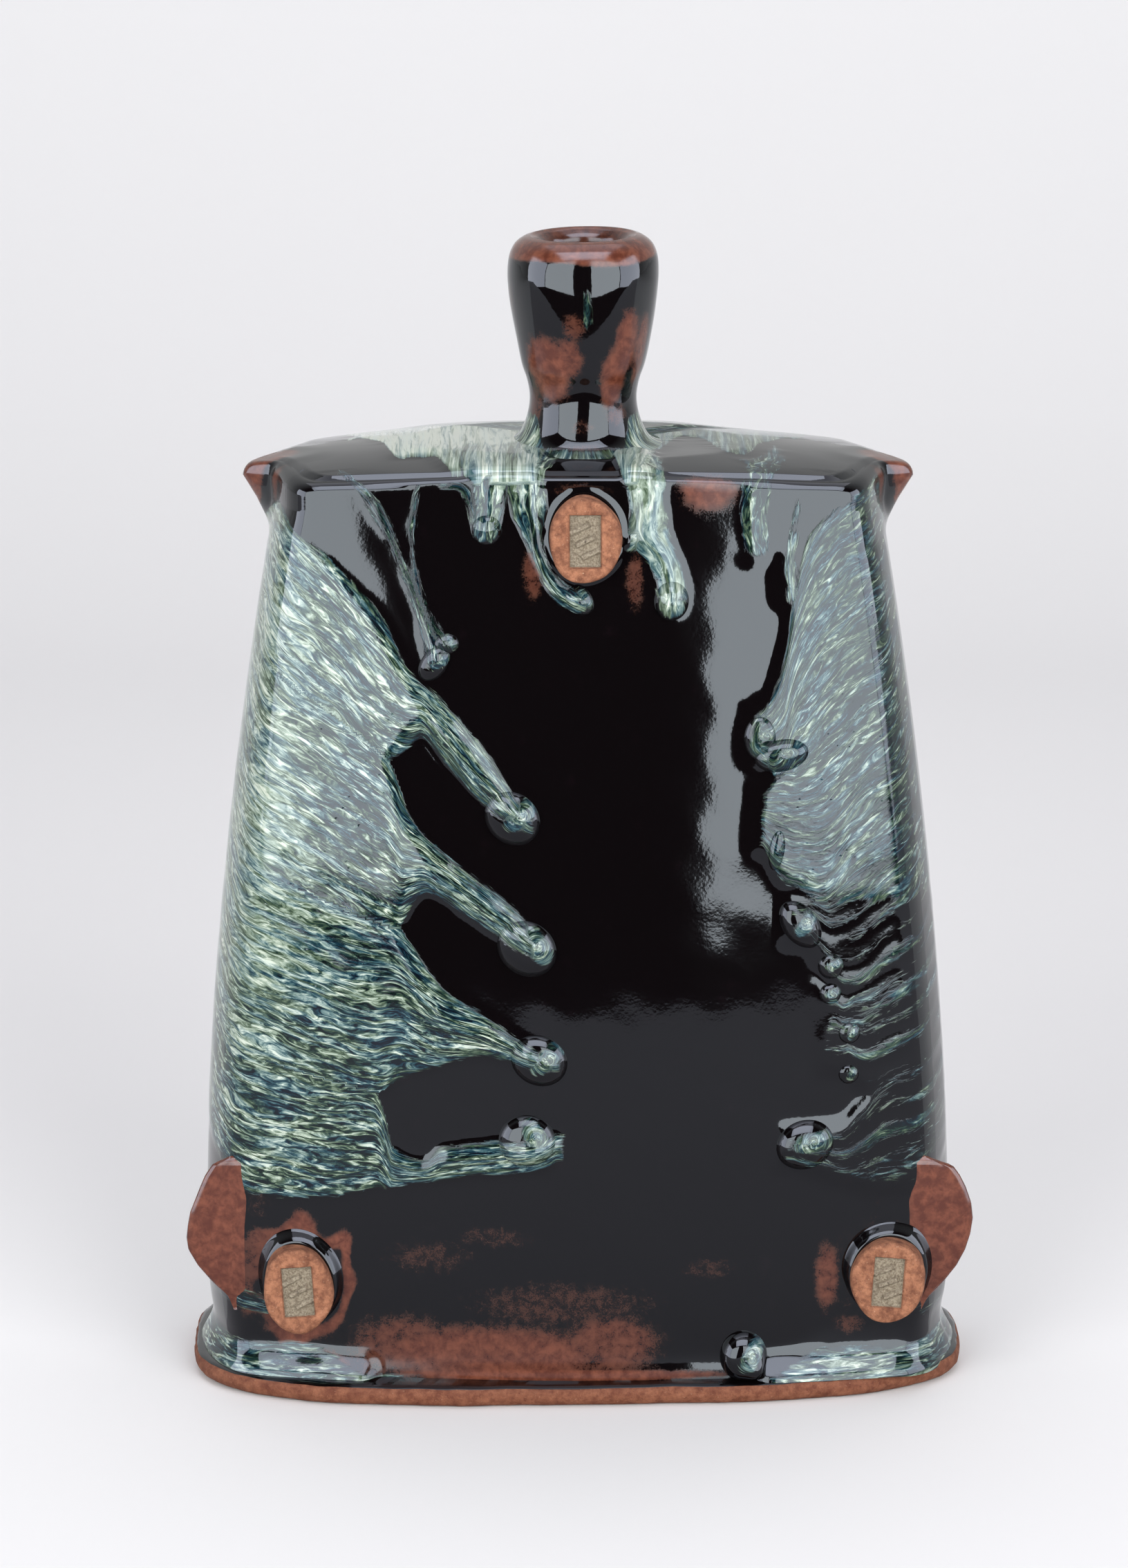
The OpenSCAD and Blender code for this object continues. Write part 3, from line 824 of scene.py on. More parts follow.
def foot(material, ledge_material):
    s = Shape()
    angle = np.linspace(0, 2 * math.pi, FOOT_SIDES, endpoint=False)
    c, si = np.cos(angle), np.sin(angle)
    power = 2 / FOOT_SQUARE
    x = FOOT_W * np.sign(c) * np.abs(c) ** power
    y = FOOT_D * np.sign(si) * np.abs(si) ** power
    rings = []
    for inset, z in FOOT_EDGE:
        rx, ry = x * (1 - inset / 95), y * (1 - min(inset, 30) / 42.5)
        edge = 1 - smoothstep(1, 10, inset)
        rough = 0.16 * ripple(rx, ry, 4 * z, 5, 51) + 0.32 * ripple(rx, ry, z, 26, 52)
        away = unit(xyz(rx, ry * 3, 0)) * (edge * rough - 0.35)[:, None]
        ring = xyz(rx, ry * (1 - FOOT_SKEW * rx), z) + away
        ring[:, 2] += edge * 0.1 * ripple(rx, ry, z, 9, 53) * (z > 1)
        rings.append(ring)
    loft(s, rings)
    obj = s.mesh("foot_look", material)
    obj.data.materials.append(ledge_material)
    for face in obj.data.polygons:
        if face.center.z > GLAZED_ABOVE * MM:
            face.material_index = 1
    return obj


# The lugs are the body's own surface pulled out to a knob: reach of the pull and its drop.
LUG_OUT, LUG_DROP = 7.7, 1.3
# Heights where the pull starts and is full, and how far back over the dome it goes.
LUG_LOW, LUG_FULL, LUG_BACK = 206.5, 223.0, 24.0
# Middle of the lug, half width of the knob and of all that is pulled, and depth of the piece.
LUG_Y, LUG_HALF, LUG_SPAN, LUG_THICK = -1.0, 4.6, 22.0, 2.2


def lug(name, sign, tip_x, material):
    """A lug on the side that sign says, pulled out towards tip_x, with rust on its knob."""
    side_middle = LEFT_SEAM_BACK + N_SIDE // 2 if sign < 0 else RIGHT_SEAM_FRONT + N_SIDE // 2
    half = N_SIDE // 2 - 2
    cols = np.arange(side_middle - half, side_middle + half + 1)
    rows = np.arange(int(N_WALL * 0.915), N_WALL + 1 + N_RIM + int(N_DOME * 0.42))
    pick = np.ix_(rows, cols)
    base, up = shape[pick], grid_h[pick]
    dy = np.abs(base[..., 1] - LUG_Y)
    rim_h = grid_h[N_WALL + 1 + N_RIM // 2, cols][None, :]
    below = smoothstep(LUG_LOW, LUG_FULL, up) ** 1.25
    above = (1 - np.clip((up - rim_h - 1.0) / LUG_BACK, 0, 1)) ** 2.1
    share_h = np.where(up < rim_h, below, above)
    wide = LUG_HALF * (1 + 1.6 * np.clip((up - rim_h) / LUG_BACK, 0, 1))
    share = share_h / (1 + (dy / wide) ** 2.3) * (1 - smoothstep(11, LUG_SPAN, dy))
    knob = np.exp(-(dy / 4.2) ** 4 - ((up - rim_h + 2.0) / 4.6) ** 4)
    groove = np.exp(-((dy - 6.4) / 1.5) ** 2 - ((up - rim_h + 3.5) / 6.0) ** 2)
    pull = LUG_OUT * tip_x / 80 * share * (0.82 + 0.18 * knob) - 0.7 * groove
    lift = 0.35 * share_h * (1 - smoothstep(2, 13, dy)) * (up > rim_h) * (1 - share)
    moved = base + xyz(sign * pull, 0, lift - LUG_DROP * share)
    skin = 0.34 * smoothstep(0.0, 0.35, share) - 0.04
    moved = moved + shape_normal[pick] * skin[..., None]
    normal = grid_normals(moved, shape_normal[pick] + np.array([sign * 0.6, 0, 0]))
    keep = smoothstep(0.01, 0.3, share)[..., None]
    normal = unit(normal * keep + shape_normal[pick] * (1 - keep))
    look = LOOK[pick].copy()
    lobe = np.exp(-((base[..., 1] - LUG_Y + 10.0) / 2.6) ** 2 - ((up - rim_h + 4.0) / 6.5) ** 2)
    look[..., 2] = np.maximum(look[..., 2], np.maximum(smoothstep(0.34, 0.6, share), lobe) * 1.05)
    look[..., 0] = look[..., 0] - 8 * smoothstep(0.05, 0.3, share)
    inside = (grid[pick] - bare_normal[pick] * LUG_THICK, -bare_normal[pick])
    return shell(name, (moved, normal, FLOW[pick], look), inside, material)


# Outlines of the fins: height, reach beyond the front corner.
LEFT_FIN = [(19.5, 0), (23, 1.6), (27, 5.2), (31, 8.4), (35, 10.6), (38, 11.0), (41, 10.7),
            (44.5, 10.1), (48, 8.8), (51, 7.7), (54, 6.5), (57, 4.6), (58.8, 0)]
RIGHT_FIN = [(19.5, 0), (23, 2.0), (27, 5.3), (31, 8.2), (35, 10.2), (39, 11.4), (43, 12.0),
             (47, 11.6), (51, 10.3), (54, 8.9), (56.5, 7.2), (59, 0)]
FIN_STEPS = 56


def fin(name, sign, outline_points, material):
    """A thin wing in the plane of the front, hollow behind, standing out from the corner."""
    s = Shape()
    rings, looks = [], []
    for z in np.linspace(outline_points[0][0], outline_points[-1][0], FIN_STEPS):
        reach = np.interp(z, *np.array(outline_points).T)
        corner = corner_x(z)
        grow = smoothstep(0, 4, reach)
        front = -(corner_y(z) + 0.15 * grow - 0.9 * (1 - grow))
        start_x = corner - 9
        start_y = -(front_y(start_x, z) - 0.25 + 0.2 * grow)
        tip = corner + reach - 1.0
        thick = 1.0 + 0.7 * grow
        section = [
            (start_x, start_y), (corner - 5, -front_y(corner - 5, z) - 0.22 * grow + 0.3),
            (corner - 1, front - 0.05 * grow), (corner + 0.35 * reach, front + 0.2),
            (corner + 0.7 * reach, front + 0.35), (tip, front + 0.45),
            (tip + 0.8, front + 0.45 + thick / 2), (tip, front + 0.45 + thick),
            (corner + 0.7 * reach - 0.3, front + 0.9 + thick),
            (corner + 0.35 * reach, front + 2.6 + thick), (corner + 0.6, front + 6.5),
            (corner + 0.2, front + 11), (corner - 5, front + 11), (corner - 8, front + 5),
        ]
        section = spline(section + section[:1], 4)[:-1]
        rings.append(xyz(sign * section[:, 0], section[:, 1], z))
        edge = smoothstep(-9, -2, section[:, 0] - corner) * 1.05
        looks.append(xyz(BARE, 0.5, edge))
    loft(s, rings, look=np.array(looks), flip=sign < 0)
    return s.mesh(name, material)


# ---------- pads, and glaze beads and collars on the front ----------


def front_point(x, z, off):
    """Points off mm in front of the bare front face."""
    return xyz(x, -front_y(x, z) - off, z)


def leaned(x0, z0, u, w, degrees):
    """Places (u, w) about a middle on the front, turned anticlockwise, as x and z."""
    c, si = math.cos(math.radians(degrees)), math.sin(math.radians(degrees))
    return x0 + u * c - w * si, z0 + u * si + w * c


PAD_SIDES, PAD_RINGS = 144, 46
# The stamp's sunk rectangle, and the slanted ribs that stand on its floor.
STAMP_W, STAMP_H, STAMP_DEEP = 7.4, 12.6, 1.25
RIB_W, RIB_H, RIB_SLANT, RIB_EVERY = 4.8, 1.1, math.radians(25.0), 3.6
# Centre x and z, half width, half height, lean anticlockwise in degrees, and how far the
# collar of glaze climbs up it.
PADS = {
    "upper_pad": (1.7, 213.5, 8.5, 10.2, 0.0, 0.9),
    "lower_left_pad": (-67.6, 28.0, 8.4, 10.7, 4.0, 4.2),
    "lower_right_pad": (75.1, 30.0, 9.0, 10.2, -4.0, 4.2),
}


def pad(node, material):
    """An oval wad of clay with a stamp in its face."""
    cx, cz, rx, rz, lean, _ = PADS[node]
    low, high = box_mm(node)
    face_y, back_y = low[1], high[1]
    s = Shape()
    angle = np.linspace(0, 2 * math.pi, PAD_SIDES, endpoint=False)
    ca, sa = np.cos(angle), np.sin(angle)
    bent = 1 + 0.018 * np.sin(3 * angle + cx) + 0.012 * np.sin(5 * angle + cz)
    rings, marks = [], []
    sides = [(0.2, back_y), (0.97, back_y), (1.0, back_y - 0.8)]
    sides += [(1.0 + 0.01 * math.sin(k), y) for k, y in
              enumerate(np.linspace(back_y - 1.4, face_y + 1.3, 9))]
    sides += [(0.995, face_y + 0.75), (0.975, face_y + 0.32), (0.94, face_y + 0.1)]
    face = [(f, face_y) for f in np.linspace(0.9, 0.02, PAD_RINGS)]
    for f, y in sides + face:
        u, w = rx * f * ca * bent, rz * f * sa * bent
        edge = np.minimum(STAMP_W / 2 - np.abs(u), STAMP_H / 2 - np.abs(w))
        sunk = smoothstep(-0.25, 0.3, edge)
        along = u * math.cos(RIB_SLANT) + w * math.sin(RIB_SLANT)
        rib = np.zeros(u.shape)
        for middle in (-RIB_EVERY, 0.0, RIB_EVERY):
            across = (w - middle) * math.cos(RIB_SLANT) - u * math.sin(RIB_SLANT)
            gap = np.maximum(np.abs(across) - RIB_H / 2, np.abs(along) - RIB_W / 2)
            rib = np.maximum(rib, 1 - smoothstep(-0.2, 0.35, gap))
        is_face = y == face_y
        depth = STAMP_DEEP * sunk * (1 - 0.8 * rib) if is_face else 0 * u
        x, z = leaned(cx, cz, u, w, lean)
        grain = 0.07 * ripple(x, 3 * y, z, 1.6, 71) + 0.09 * ripple(x, y, z, 4, 72)
        rings.append(xyz(x, y + depth + grain + 0.12, z))
        marks.append(xyz(BARE, 0, sunk * is_face))
    loft(s, rings, look=np.array(marks))
    return s.mesh(node + "_look", material)


# Beads: x, z, radius, stand-off, stretch and the angle it is stretched along.
BEADS = [
    (-15.6, 145.4, 6.4, 3.3, 1.1, -45), (-12.2, 113.4, 6.8, 3.5, 1.1, -40),
    (-9.3, 85.6, 6.4, 3.5, 1.1, -30), (-12.2, 65.6, 6.5, 3.6, 1.05, 0),
    (-34.0, 182.8, 3.6, 2.0, 1.35, 235), (-31.0, 187.6, 2.6, 1.4, 1.1, 0),
    (0.4, 198.2, 3.2, 2.0, 1.2, -50), (22.1, 198.0, 4.3, 2.8, 1.1, 90),
    (-21.5, 214.8, 3.6, 1.6, 1.0, 90),
    (43.2, 164.5, 4.2, 1.6, 1.25, 90), (48.4, 160.2, 4.6, 2.8, 1.4, 10),
    (53.2, 118.6, 4.9, 3.2, 1.35, -55), (47.4, 137.0, 2.6, 1.4, 1.9, 82),
    (60.6, 108.0, 3.1, 1.7, 1.0, 0), (60.6, 101.2, 2.6, 1.5, 1.0, 0),
    (65.3, 91.2, 2.6, 1.4, 1.0, 0), (65.2, 80.8, 2.4, 1.2, 1.0, 0),
    (54.8, 63.6, 6.4, 3.5, 1.1, 20), (40.3, 10.6, 5.9, 5.0, 1.05, 90),
]
# The pale swirl caught in a bead: its place and size as shares of the bead's radius.
SWIRL_X, SWIRL_Z, SWIRL_R = 0.35, 0.22, 0.5
BEAD_SIDES, BEAD_RINGS = 56, 14
# A bead or a collar starts this far above the glaze's surface, and reaches this far into it.
SUNK_TOP, SUNK_BACK = -0.06, -1.0


def front_glaze(x, z):
    """The glaze at places on the front: how far it stands off the slab, and its fields."""
    here = front_point(x, z, 0)
    fields = glaze_fields(here, x, z, np.zeros(x.shape, bool))
    return (relief(here, x, z, fields[0], rounding=0),) + fields


def bead(s, x0, z0, radius, height, stretch, degrees):
    """A drop of clear black glaze with a pale swirl caught in it."""
    angle = np.linspace(0, 2 * math.pi, BEAD_SIDES, endpoint=False)[None, :]
    f = np.sin(np.linspace(math.pi / 2, 0.03, BEAD_RINGS))[:, None]
    wide, tall = radius * stretch, radius / math.sqrt(stretch)
    u, w = f * wide * np.cos(angle), f * tall * np.sin(angle)
    x, z = leaned(x0, z0, u, w, degrees)
    off, cov, phi, psi, pale, _ = front_glaze(x, z)
    rise = height * (1 - f**2.6) ** 0.62
    top = front_point(x, z, off + rise + SUNK_TOP)
    bottom = front_point(x[:1], z[:1], off[:1] + SUNK_BACK)
    swirl_x, swirl_z = x - x0 - SWIRL_X * radius, z - z0 - SWIRL_Z * radius
    around = np.arctan2(swirl_z, swirl_x)
    swirl = SWIRL_R * radius - np.hypot(swirl_x, swirl_z) * (1 + 0.35 * np.sin(2 * around + x0))
    caught = swirl > cov
    look = xyz(np.maximum(cov, swirl), np.where(caught, 0.62, pale), 0)
    turned = xyz(3 * around, np.hypot(swirl_x, swirl_z) * 1.4 + z0, 0)
    flow = np.where(caught[..., None], turned, xyz(phi, psi, 0))
    rings = np.concatenate([bottom, top])
    loft(s, rings, np.concatenate([flow[:1], flow]), np.concatenate([look[:1], look]), flip=True)


# How far a collar of glaze spreads from its pad, and its columns and rows.
COLLAR, COLLAR_SIDES, COLLAR_RINGS = 3.2, 112, 20


def collar(s, node):
    """Glaze climbing the side of a pad."""
    cx, cz, rx, rz, lean, climb = PADS[node]
    angle = np.linspace(0, 2 * math.pi, COLLAR_SIDES, endpoint=False)[None, :]
    away = np.concatenate([[-0.9], np.linspace(-0.25, COLLAR, COLLAR_RINGS)])[:, None]
    reach = 0.62 + 0.34 * np.sin(angle + 0.3) * (climb > 2) + 0.07 * np.sin(3 * angle + cx)
    d = np.where(away > 0, away * reach, away)
    u, w = (rx + d) * np.cos(angle), (rz + d) * np.sin(angle)
    x, z = leaned(cx, cz, u, w, lean)
    t = np.clip(away / COLLAR, 0, 1)
    rise = climb * (1 - t) ** 1.2 * (1 - 0.35 * (1 - t) ** 3)
    off = front_glaze(x, z)[0]
    top = front_point(x, z, off + rise + SUNK_TOP)
    lower = front_point(x, z, off + SUNK_BACK)
    rings = np.concatenate([lower[:1], top, lower[-1:]])
    close_rings(s, s.add(rings), len(rings), COLLAR_SIDES)


def beads(material):
    s = Shape()
    for row in BEADS:
        bead(s, *row)
    for node in PADS:
        collar(s, node)
    return s.mesh("glaze_beads_look", material)


# ---------- materials ----------


class Nodes:
    """Builds the node tree of a material or of the world."""

    def __init__(self, owner):
        self.owner = owner
        owner.use_nodes = True
        self.tree = owner.node_tree
        self.tree.nodes.clear()

    def add(self, kind, result=0, settings=None, **inputs):
        """Adds a node and returns one of its outputs; i0, i1 ... are inputs by number."""
        made = self.tree.nodes.new("ShaderNode" + kind)
        for key, value in (settings or {}).items():
            setattr(made, key, value)
        for key, value in inputs.items():
            name = key.replace("_", " ")
            socket = made.inputs[int(key[1:])] if key[1:].isdigit() else made.inputs[name]
            if isinstance(value, bpy.types.NodeSocket):
                self.tree.links.new(value, socket)
            else:
                socket.default_value = value
        return None if result is None else made.outputs[result]

    def math(self, operation, a, b, clamp=False):
        return self.add("Math", 0, {"operation": operation, "use_clamp": clamp}, i0=a, i1=b)

    def plus(self, a, b):
        return self.math("ADD", a, b)

    def times(self, a, b, clamp=False):
        return self.math("MULTIPLY", a, b, clamp)

    def swing(self, noise, size):
        """A noise that swings about zero, over the given size."""
        return self.times(self.math("SUBTRACT", noise, 0.5), size)

    def step(self, value, low, high):
        settings = {"interpolation_type": "SMOOTHSTEP"}
        return self.add("MapRange", 0, settings, i0=value, i1=low, i2=high, i3=0.0, i4=1.0)

    def mix(self, factor, a, b):
        return self.add("Mix", 2, {"data_type": "RGBA"}, i0=factor, i6=a, i7=b)

    def blend(self, factor, a, b):
        return self.add("Mix", 0, i0=factor, i2=a, i3=b)

    def split(self, vector):
        made = self.tree.nodes.new("ShaderNodeSeparateXYZ")
        self.tree.links.new(vector, made.inputs[0])
        return list(made.outputs)

    def field(self, name):
        """A field stored on the mesh."""
        return self.add("Attribute", 1, {"attribute_name": name})

    def place(self):
        """Object coordinates, in metres."""
        return self.add("TexCoord", 3)

    def ramp(self, value, stops):
        made = self.tree.nodes.new("ShaderNodeValToRGB")
        elements = made.color_ramp.elements
        elements[0].position, elements[0].color = stops[0][0], stops[0][1] + (1,)
        elements[1].position, elements[1].color = stops[-1][0], stops[-1][1] + (1,)
        for at, colour in stops[1:-1]:
            elements.new(at).color = colour + (1,)
        self.tree.links.new(value, made.inputs[0])
        return made.outputs[0]

    def noise(self, vector, scale, detail=2.0, roughness=0.5, distortion=0.0):
        return self.add("TexNoise", 0, Vector=vector, Scale=scale, Detail=detail,
                        Roughness=roughness, Distortion=distortion)

    def stretch(self, vector, x, y, z, shift=0.0):
        return self.add("VectorMath", 0, {"operation": "MULTIPLY_ADD"}, i0=vector, i1=(x, y, z),
                        i2=(shift, shift, shift))

    def finish(self, shader="BsdfPrincipled", out="OutputMaterial", **inputs):
        """Adds the shader and the output, and returns the material or the world."""
        made = self.add(shader, **inputs)
        self.add(out, None, i0=made)
        return self.owner


BLACK, BLACK_CLOUD = (0.0022, 0.0015, 0.0018, 1), (0.0045, 0.0026, 0.0034, 1)
GLOSS_ROUGH, RUST_ROUGH = 0.045, 0.17
RUST_DARK, RUST_LIGHT = (0.075, 0.020, 0.011, 1), (0.150, 0.048, 0.026, 1)
RUST_FAINT = (0.030, 0.013, 0.009, 1)
GREENS = [(0.0, (0.003, 0.006, 0.006)), (0.22, (0.010, 0.026, 0.021)),
          (0.40, (0.042, 0.066, 0.038)), (0.56, (0.115, 0.158, 0.112)),
          (0.76, (0.25, 0.315, 0.25)), (1.0, (0.50, 0.545, 0.46))]
BLUES = [(0.0, (0.003, 0.005, 0.010)), (0.22, (0.006, 0.026, 0.040)),
         (0.40, (0.030, 0.072, 0.085)), (0.56, (0.095, 0.155, 0.155)),
         (0.76, (0.235, 0.31, 0.285)), (1.0, (0.48, 0.545, 0.48))]


def glaze(name):
    """Black glaze that breaks to rust and carries streaked pale runs along the flow."""
    n = Nodes(bpy.data.materials.new(name))
    place, flow = n.place(), n.field("flow")
    cover_in, pale_in, rust_in = n.split(n.field("look"))

    # Pale glaze: broad and fine streaks that wander a little across the flow.
    wander = n.add("TexNoise", 1, Vector=n.stretch(flow, 0.06, 0.16, 1), Scale=1.0, Detail=2.0)
    centred = n.add("VectorMath", 0, {"operation": "SUBTRACT"}, i0=wander, i1=(0.5, 0.5, 0.5))
    shift = n.stretch(centred, 5.0, 5.2, 0.0)
    bent = n.add("VectorMath", 0, {"operation": "ADD"}, i0=flow, i1=shift)
    broad = n.noise(n.stretch(bent, 0.035, 0.22, 1), 1.0, 2.0, 0.5, 0.4)
    fine = n.noise(n.stretch(bent, 0.23, 1.05, 1, 9.0), 1.0, 4.0, 0.60, 1.0)
    hue = n.noise(n.stretch(bent, 0.06, 0.4, 1, 31.0), 1.0, 3.0, 0.6, 0.6)
    streak = n.plus(n.times(broad, 0.23), n.times(fine, 0.77))
    contrast = n.math("SUBTRACT", 6.0, n.times(n.math("MINIMUM", pale_in, 1.0), 3.6))
    tone = n.plus(n.plus(n.swing(streak, contrast), 0.12), n.times(pale_in, 0.55))
    thick = n.step(cover_in, -0.2, 2.2)
    tone = n.times(tone, n.blend(thick, 0.62, 1.0), clamp=True)
    pale_colour = n.mix(n.step(hue, 0.42, 0.6), n.ramp(tone, GREENS), n.ramp(tone, BLUES))
    covered = n.step(n.plus(cover_in, n.swing(fine, 2.6)), -0.35, 0.45)

    # Black glaze, and the rust it breaks to.
    mottle = n.noise(place, 420.0, 6.0, 0.62, 0.3)
    speck = n.noise(place, 2600.0, 3.0, 0.7)
    patch = n.plus(n.plus(rust_in, n.swing(mottle, 1.1)), n.swing(speck, 1.0))
    rusty = n.step(patch, 0.40, 0.74)
    rust_colour = n.mix(n.step(mottle, 0.35, 0.7), RUST_DARK, RUST_LIGHT)
    rust_colour = n.mix(n.step(rust_in, 0.45, 1.05), RUST_FAINT, rust_colour)
    dark = n.mix(n.step(n.noise(place, 160.0, 4.0, 0.6), 0.62, 0.8), BLACK, BLACK_CLOUD)
    colour = n.mix(covered, n.mix(rusty, dark, rust_colour), pale_colour)
    rough = n.blend(n.times(rusty, n.math("SUBTRACT", 1.0, covered)), GLOSS_ROUGH, RUST_ROUGH)

    # Unevenness of the surface: orange peel, grain, pits in the pale glaze, streaks, mottle.
    peel = n.noise(place, 330.0, 2.0, 0.5)
    grain = n.noise(place, 1300.0, 1.0, 0.5)
    pits = n.step(n.add("TexVoronoi", 0, Vector=place, Scale=330.0), 0.0, 0.13)
    height = n.times(peel, 0.055)
    for part, share in ((grain, 0.028), (n.times(pits, covered), 0.12),
                        (n.times(fine, covered), 0.07), (n.times(mottle, rusty), 0.02)):
        height = n.plus(height, n.times(part, share))
    bump = n.add("Bump", 0, Strength=1.0, Distance=0.00012, Height=height)
    return n.finish(Base_Color=colour, Roughness=rough, IOR=1.52,
                    Specular_Tint=(0.84, 0.93, 1.0, 1), Normal=bump)


def clay(name, stamped):
    """Coarse orange-brown clay with pale and dark grains; a stamp's floor is greyer."""
    n = Nodes(bpy.data.materials.new(name))
    place = n.place()
    sunk = n.step(n.split(n.field("look"))[2], 0.35, 0.9)
    cloud = n.noise(place, 420.0, 6.0, 0.7)
    grain = n.noise(place, 1900.0, 4.0, 0.75)
    base = n.mix(n.step(cloud, 0.3, 0.72), (0.13, 0.045, 0.022, 1), (0.37, 0.160, 0.085, 1))
    base = n.mix(n.step(grain, 0.40, 0.30), base, (0.10, 0.035, 0.018, 1))
    base = n.mix(n.step(grain, 0.62, 0.74), base, (0.56, 0.38, 0.26, 1))
    floor_colour = n.mix(n.step(grain, 0.35, 0.65), (0.13, 0.10, 0.068, 1),
                         (0.30, 0.26, 0.19, 1))
    colour = n.mix(sunk, base, floor_colour)
    height = n.plus(n.times(cloud, 0.5), grain)
    bump = n.add("Bump", 0, Strength=0.9, Distance=0.0004, Height=height)
    if not stamped:
        colour = n.mix(0.45, colour, (0.085, 0.010, 0.001, 1))
    return n.finish(Base_Color=colour, Roughness=n.blend(sunk, 0.72, 0.42), IOR=1.32,
                    Normal=bump)


def paper(name, colour):
    """The floor's matt paper, with faint clouds."""
    n = Nodes(bpy.data.materials.new(name))
    cloudy = tuple(0.985 * c for c in colour[:3]) + (1,)
    tint = n.mix(n.noise(n.place(), 3.0, 4.0), colour, cloudy)
    return n.finish(Base_Color=tint, Roughness=0.9, IOR=1.4)


# ---------- build the pieces ----------

glaze_body = glaze("body_glaze")
glaze_neck = glaze("neck_glaze")
glaze_rust = glaze("rust_glaze")
glaze_run = glaze("run_glaze")
clay_foot = clay("foot_clay", False)
clay_pad = clay("pad_clay", True)

front_columns = range(LEFT_SEAM_FRONT, RIGHT_SEAM_FRONT + 1)
left_columns = range(LEFT_SEAM_BACK, LEFT_SEAM_FRONT + 1)
right_columns = range(RIGHT_SEAM_FRONT, RIGHT_SEAM_BACK + 1)
back_columns = range(RIGHT_SEAM_BACK, LAST_COLUMN + LEFT_SEAM_BACK + 1)

made = [(foot(clay_foot, glaze_body), "foot_slab", "bare_clay")]
for part, columns, inner in (("front", front_columns, face_inner(front_columns, -1)),
                             ("back", back_columns, face_inner(back_columns, 1)),
                             ("left_side", left_columns, side_inner(left_columns)),
                             ("right_side", right_columns, side_inner(right_columns))):
    piece = slab(part + "_look", columns, inner, glaze_body)
    made.append((piece, part + "_slab", "glaze"))
made += [
    (shoulder(glaze_body), "shoulder_slab", "glaze"),
    (neck(glaze_neck), "neck", "neck_glaze"),
    (lug("left_lug_look", -1, 79.9, glaze_rust), "left_lug", "rust_glaze"),
    (lug("right_lug_look", 1, 80.5, glaze_rust), "right_lug", "rust_glaze"),
    (fin("left_fin_look", -1, LEFT_FIN, glaze_rust), "left_fin", "rust_glaze"),
    (fin("right_fin_look", 1, RIGHT_FIN, glaze_rust), "right_fin", "rust_glaze"),
]
made += [(pad(node, clay_pad), node, "stamped_clay") for node in PADS]
made.append((beads(glaze_run), "glaze_beads", "run_glaze"))
for piece, node, slot_name in made:
    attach(piece, "root")
    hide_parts(node)

# ---------- floor, light and camera ----------

# Metres: the mirrored floor's front edge, where the cove starts to rise, half the width.
FLOOR_FRONT, FLOOR_BACK, FLOOR_SIDE = -0.41, 0.7, 3.0
COVE_R, COVE_TURN, COVE_STEPS = 0.9, math.radians(50), 24


def strip_of(name, profile, material):
    """A sheet as wide as the floor along a line of points (y, z)."""
    data = bpy.data.meshes.new(name)
    points = [(side * FLOOR_SIDE, y, z) for y, z in profile for side in (-1, 1)]
    faces = [(2 * k, 2 * k + 1, 2 * k + 3, 2 * k + 2) for k in range(len(profile) - 1)]
    data.from_pydata(points, [], faces)
    data.shade_smooth()
    data.materials.append(material)
    obj = bpy.data.objects.new(name, data)
    bpy.context.scene.collection.objects.link(obj)
    return obj


floor_look = paper("floor_paper", (0.82, 0.825, 0.825, 1))
turns = [COVE_TURN * k / COVE_STEPS for k in range(COVE_STEPS + 1)]
cove = [(FLOOR_BACK + COVE_R * math.sin(t), COVE_R * (1 - math.cos(t))) for t in turns]
strip_of("floor", [(0.0, 0.0)] + cove, floor_look)
# In front of the bottle the glaze mirrors a shorter, darker floor than the camera sees.
front_floor = strip_of("front_floor", [(-3.0, 0.0), (0.0, 0.0)], floor_look)
front_floor.visible_glossy = False
dim_look = paper("floor_in_glaze", (0.42, 0.41, 0.43, 1))
dim_floor = strip_of("floor_in_glaze", [(FLOOR_FRONT, 0.0002), (0.0, 0.0002)], dim_look)
dim_floor.visible_camera = False
dim_floor.visible_diffuse = False
dim_floor.visible_shadow = False


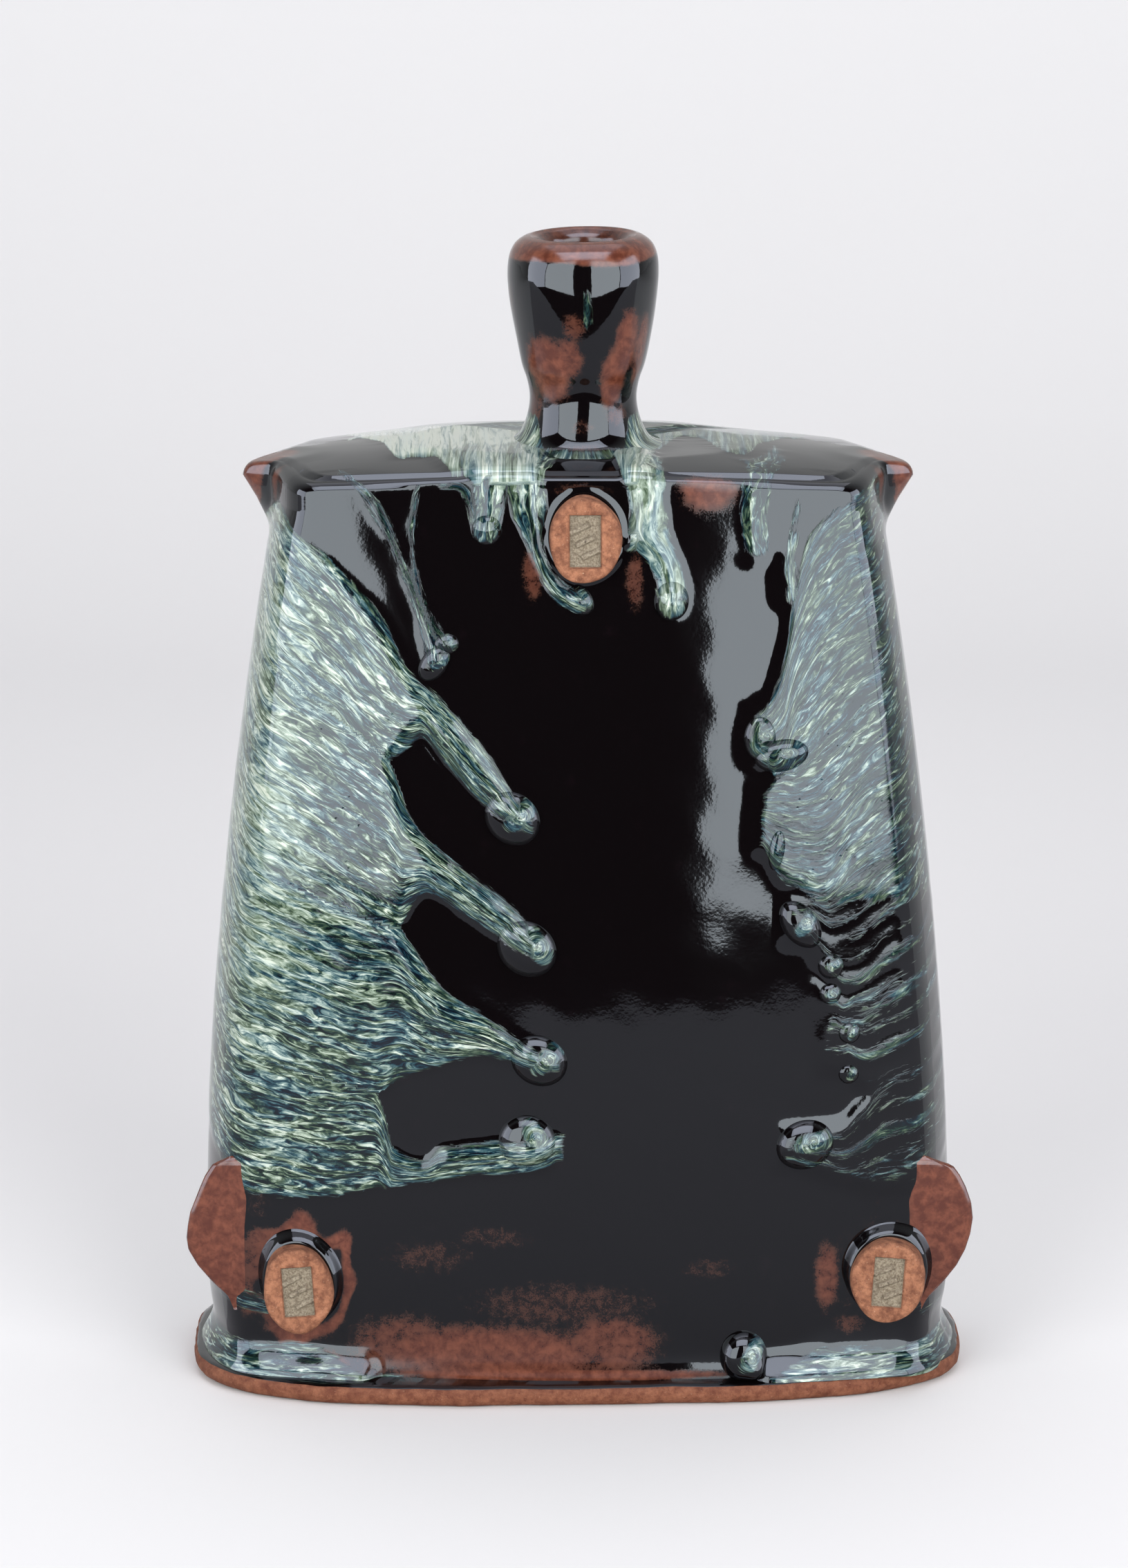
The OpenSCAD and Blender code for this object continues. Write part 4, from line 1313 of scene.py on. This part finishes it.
def softbox(name, centre, target, wide, tall, radiance, colour):
    """A rectangular light that faces its target and looks equally bright at any size."""
    light = bpy.data.lights.new(name, "AREA")
    light.shape = "RECTANGLE"
    light.size, light.size_y = wide, tall
    light.energy = radiance * math.pi * wide * tall
    light.color = colour
    obj = bpy.data.objects.new(name, light)
    obj.location = centre
    obj.rotation_euler = (Vector(target) - Vector(centre)).to_track_quat("-Z", "Y").to_euler()
    bpy.context.scene.collection.objects.link(obj)
    return obj


BOX_Y, BOX_Z, BOX_TALL = -1.6, 0.68, 1.86
NEUTRAL, COOL, LILAC = (1.0, 1.0, 1.005), (0.97, 0.96, 1.06), (1.0, 0.95, 1.06)
softbox("left_box", (-1.40, BOX_Y, BOX_Z), (-1.40, 0, BOX_Z), 1.94, BOX_TALL, 5.6, NEUTRAL)
softbox("right_box", (1.30, BOX_Y, BOX_Z), (1.30, 0, BOX_Z), 2.0, BOX_TALL, 5.8, NEUTRAL)
softbox("top_box", (0, -0.15, 1.9), (0, -0.15, 0), 1.6, 2.5, 1.15, LILAC)
# White boards beside and above the bottle, bright enough to show in the glaze only: name,
# centre, target, width, height and radiance.
BOARD_Y = -0.72
for board in (
    ("left_board", (-2.45, BOARD_Y, BOX_Z), (0, BOARD_Y, BOX_Z), 1.75, BOX_TALL, 5.0),
    ("right_board", (2.40, BOARD_Y, BOX_Z), (0, BOARD_Y, BOX_Z), 1.75, BOX_TALL, 5.0),
    ("rim_board", (0, -0.75, 1.7), (0, 0, 0.25), 1.8, 1.1, 5.2),
):
    softbox(*board, COOL).visible_diffuse = False

# The world lights from behind the bottle, and the camera sees it in one pale grey.
BEHIND_LIGHT, FRONT_LIGHT, SEEN_GREY = 0.75, 0.012, 0.89
scene = bpy.context.scene
w = Nodes(bpy.data.worlds.new("studio"))
backwards = w.split(w.add("TexCoord", 0))[1]
lit = w.add("MapRange", 0, i0=backwards, i1=-0.25, i2=0.5, i3=FRONT_LIGHT, i4=BEHIND_LIGHT)
grey = w.blend(w.add("LightPath", 0), lit, SEEN_GREY)
scene.world = w.finish("Background", "OutputWorld", Color=grey)

camera_data = bpy.data.cameras.new("camera")
camera_data.lens = 146.68
camera_data.sensor_width = 36
camera = bpy.data.objects.new("camera", camera_data)
camera.location = (-0.0033, -1.5, 0.5391)
camera.rotation_euler = (math.radians(75.28), 0, 0)
scene.collection.objects.link(camera)
scene.camera = camera
scene.view_settings.view_transform = "Standard"
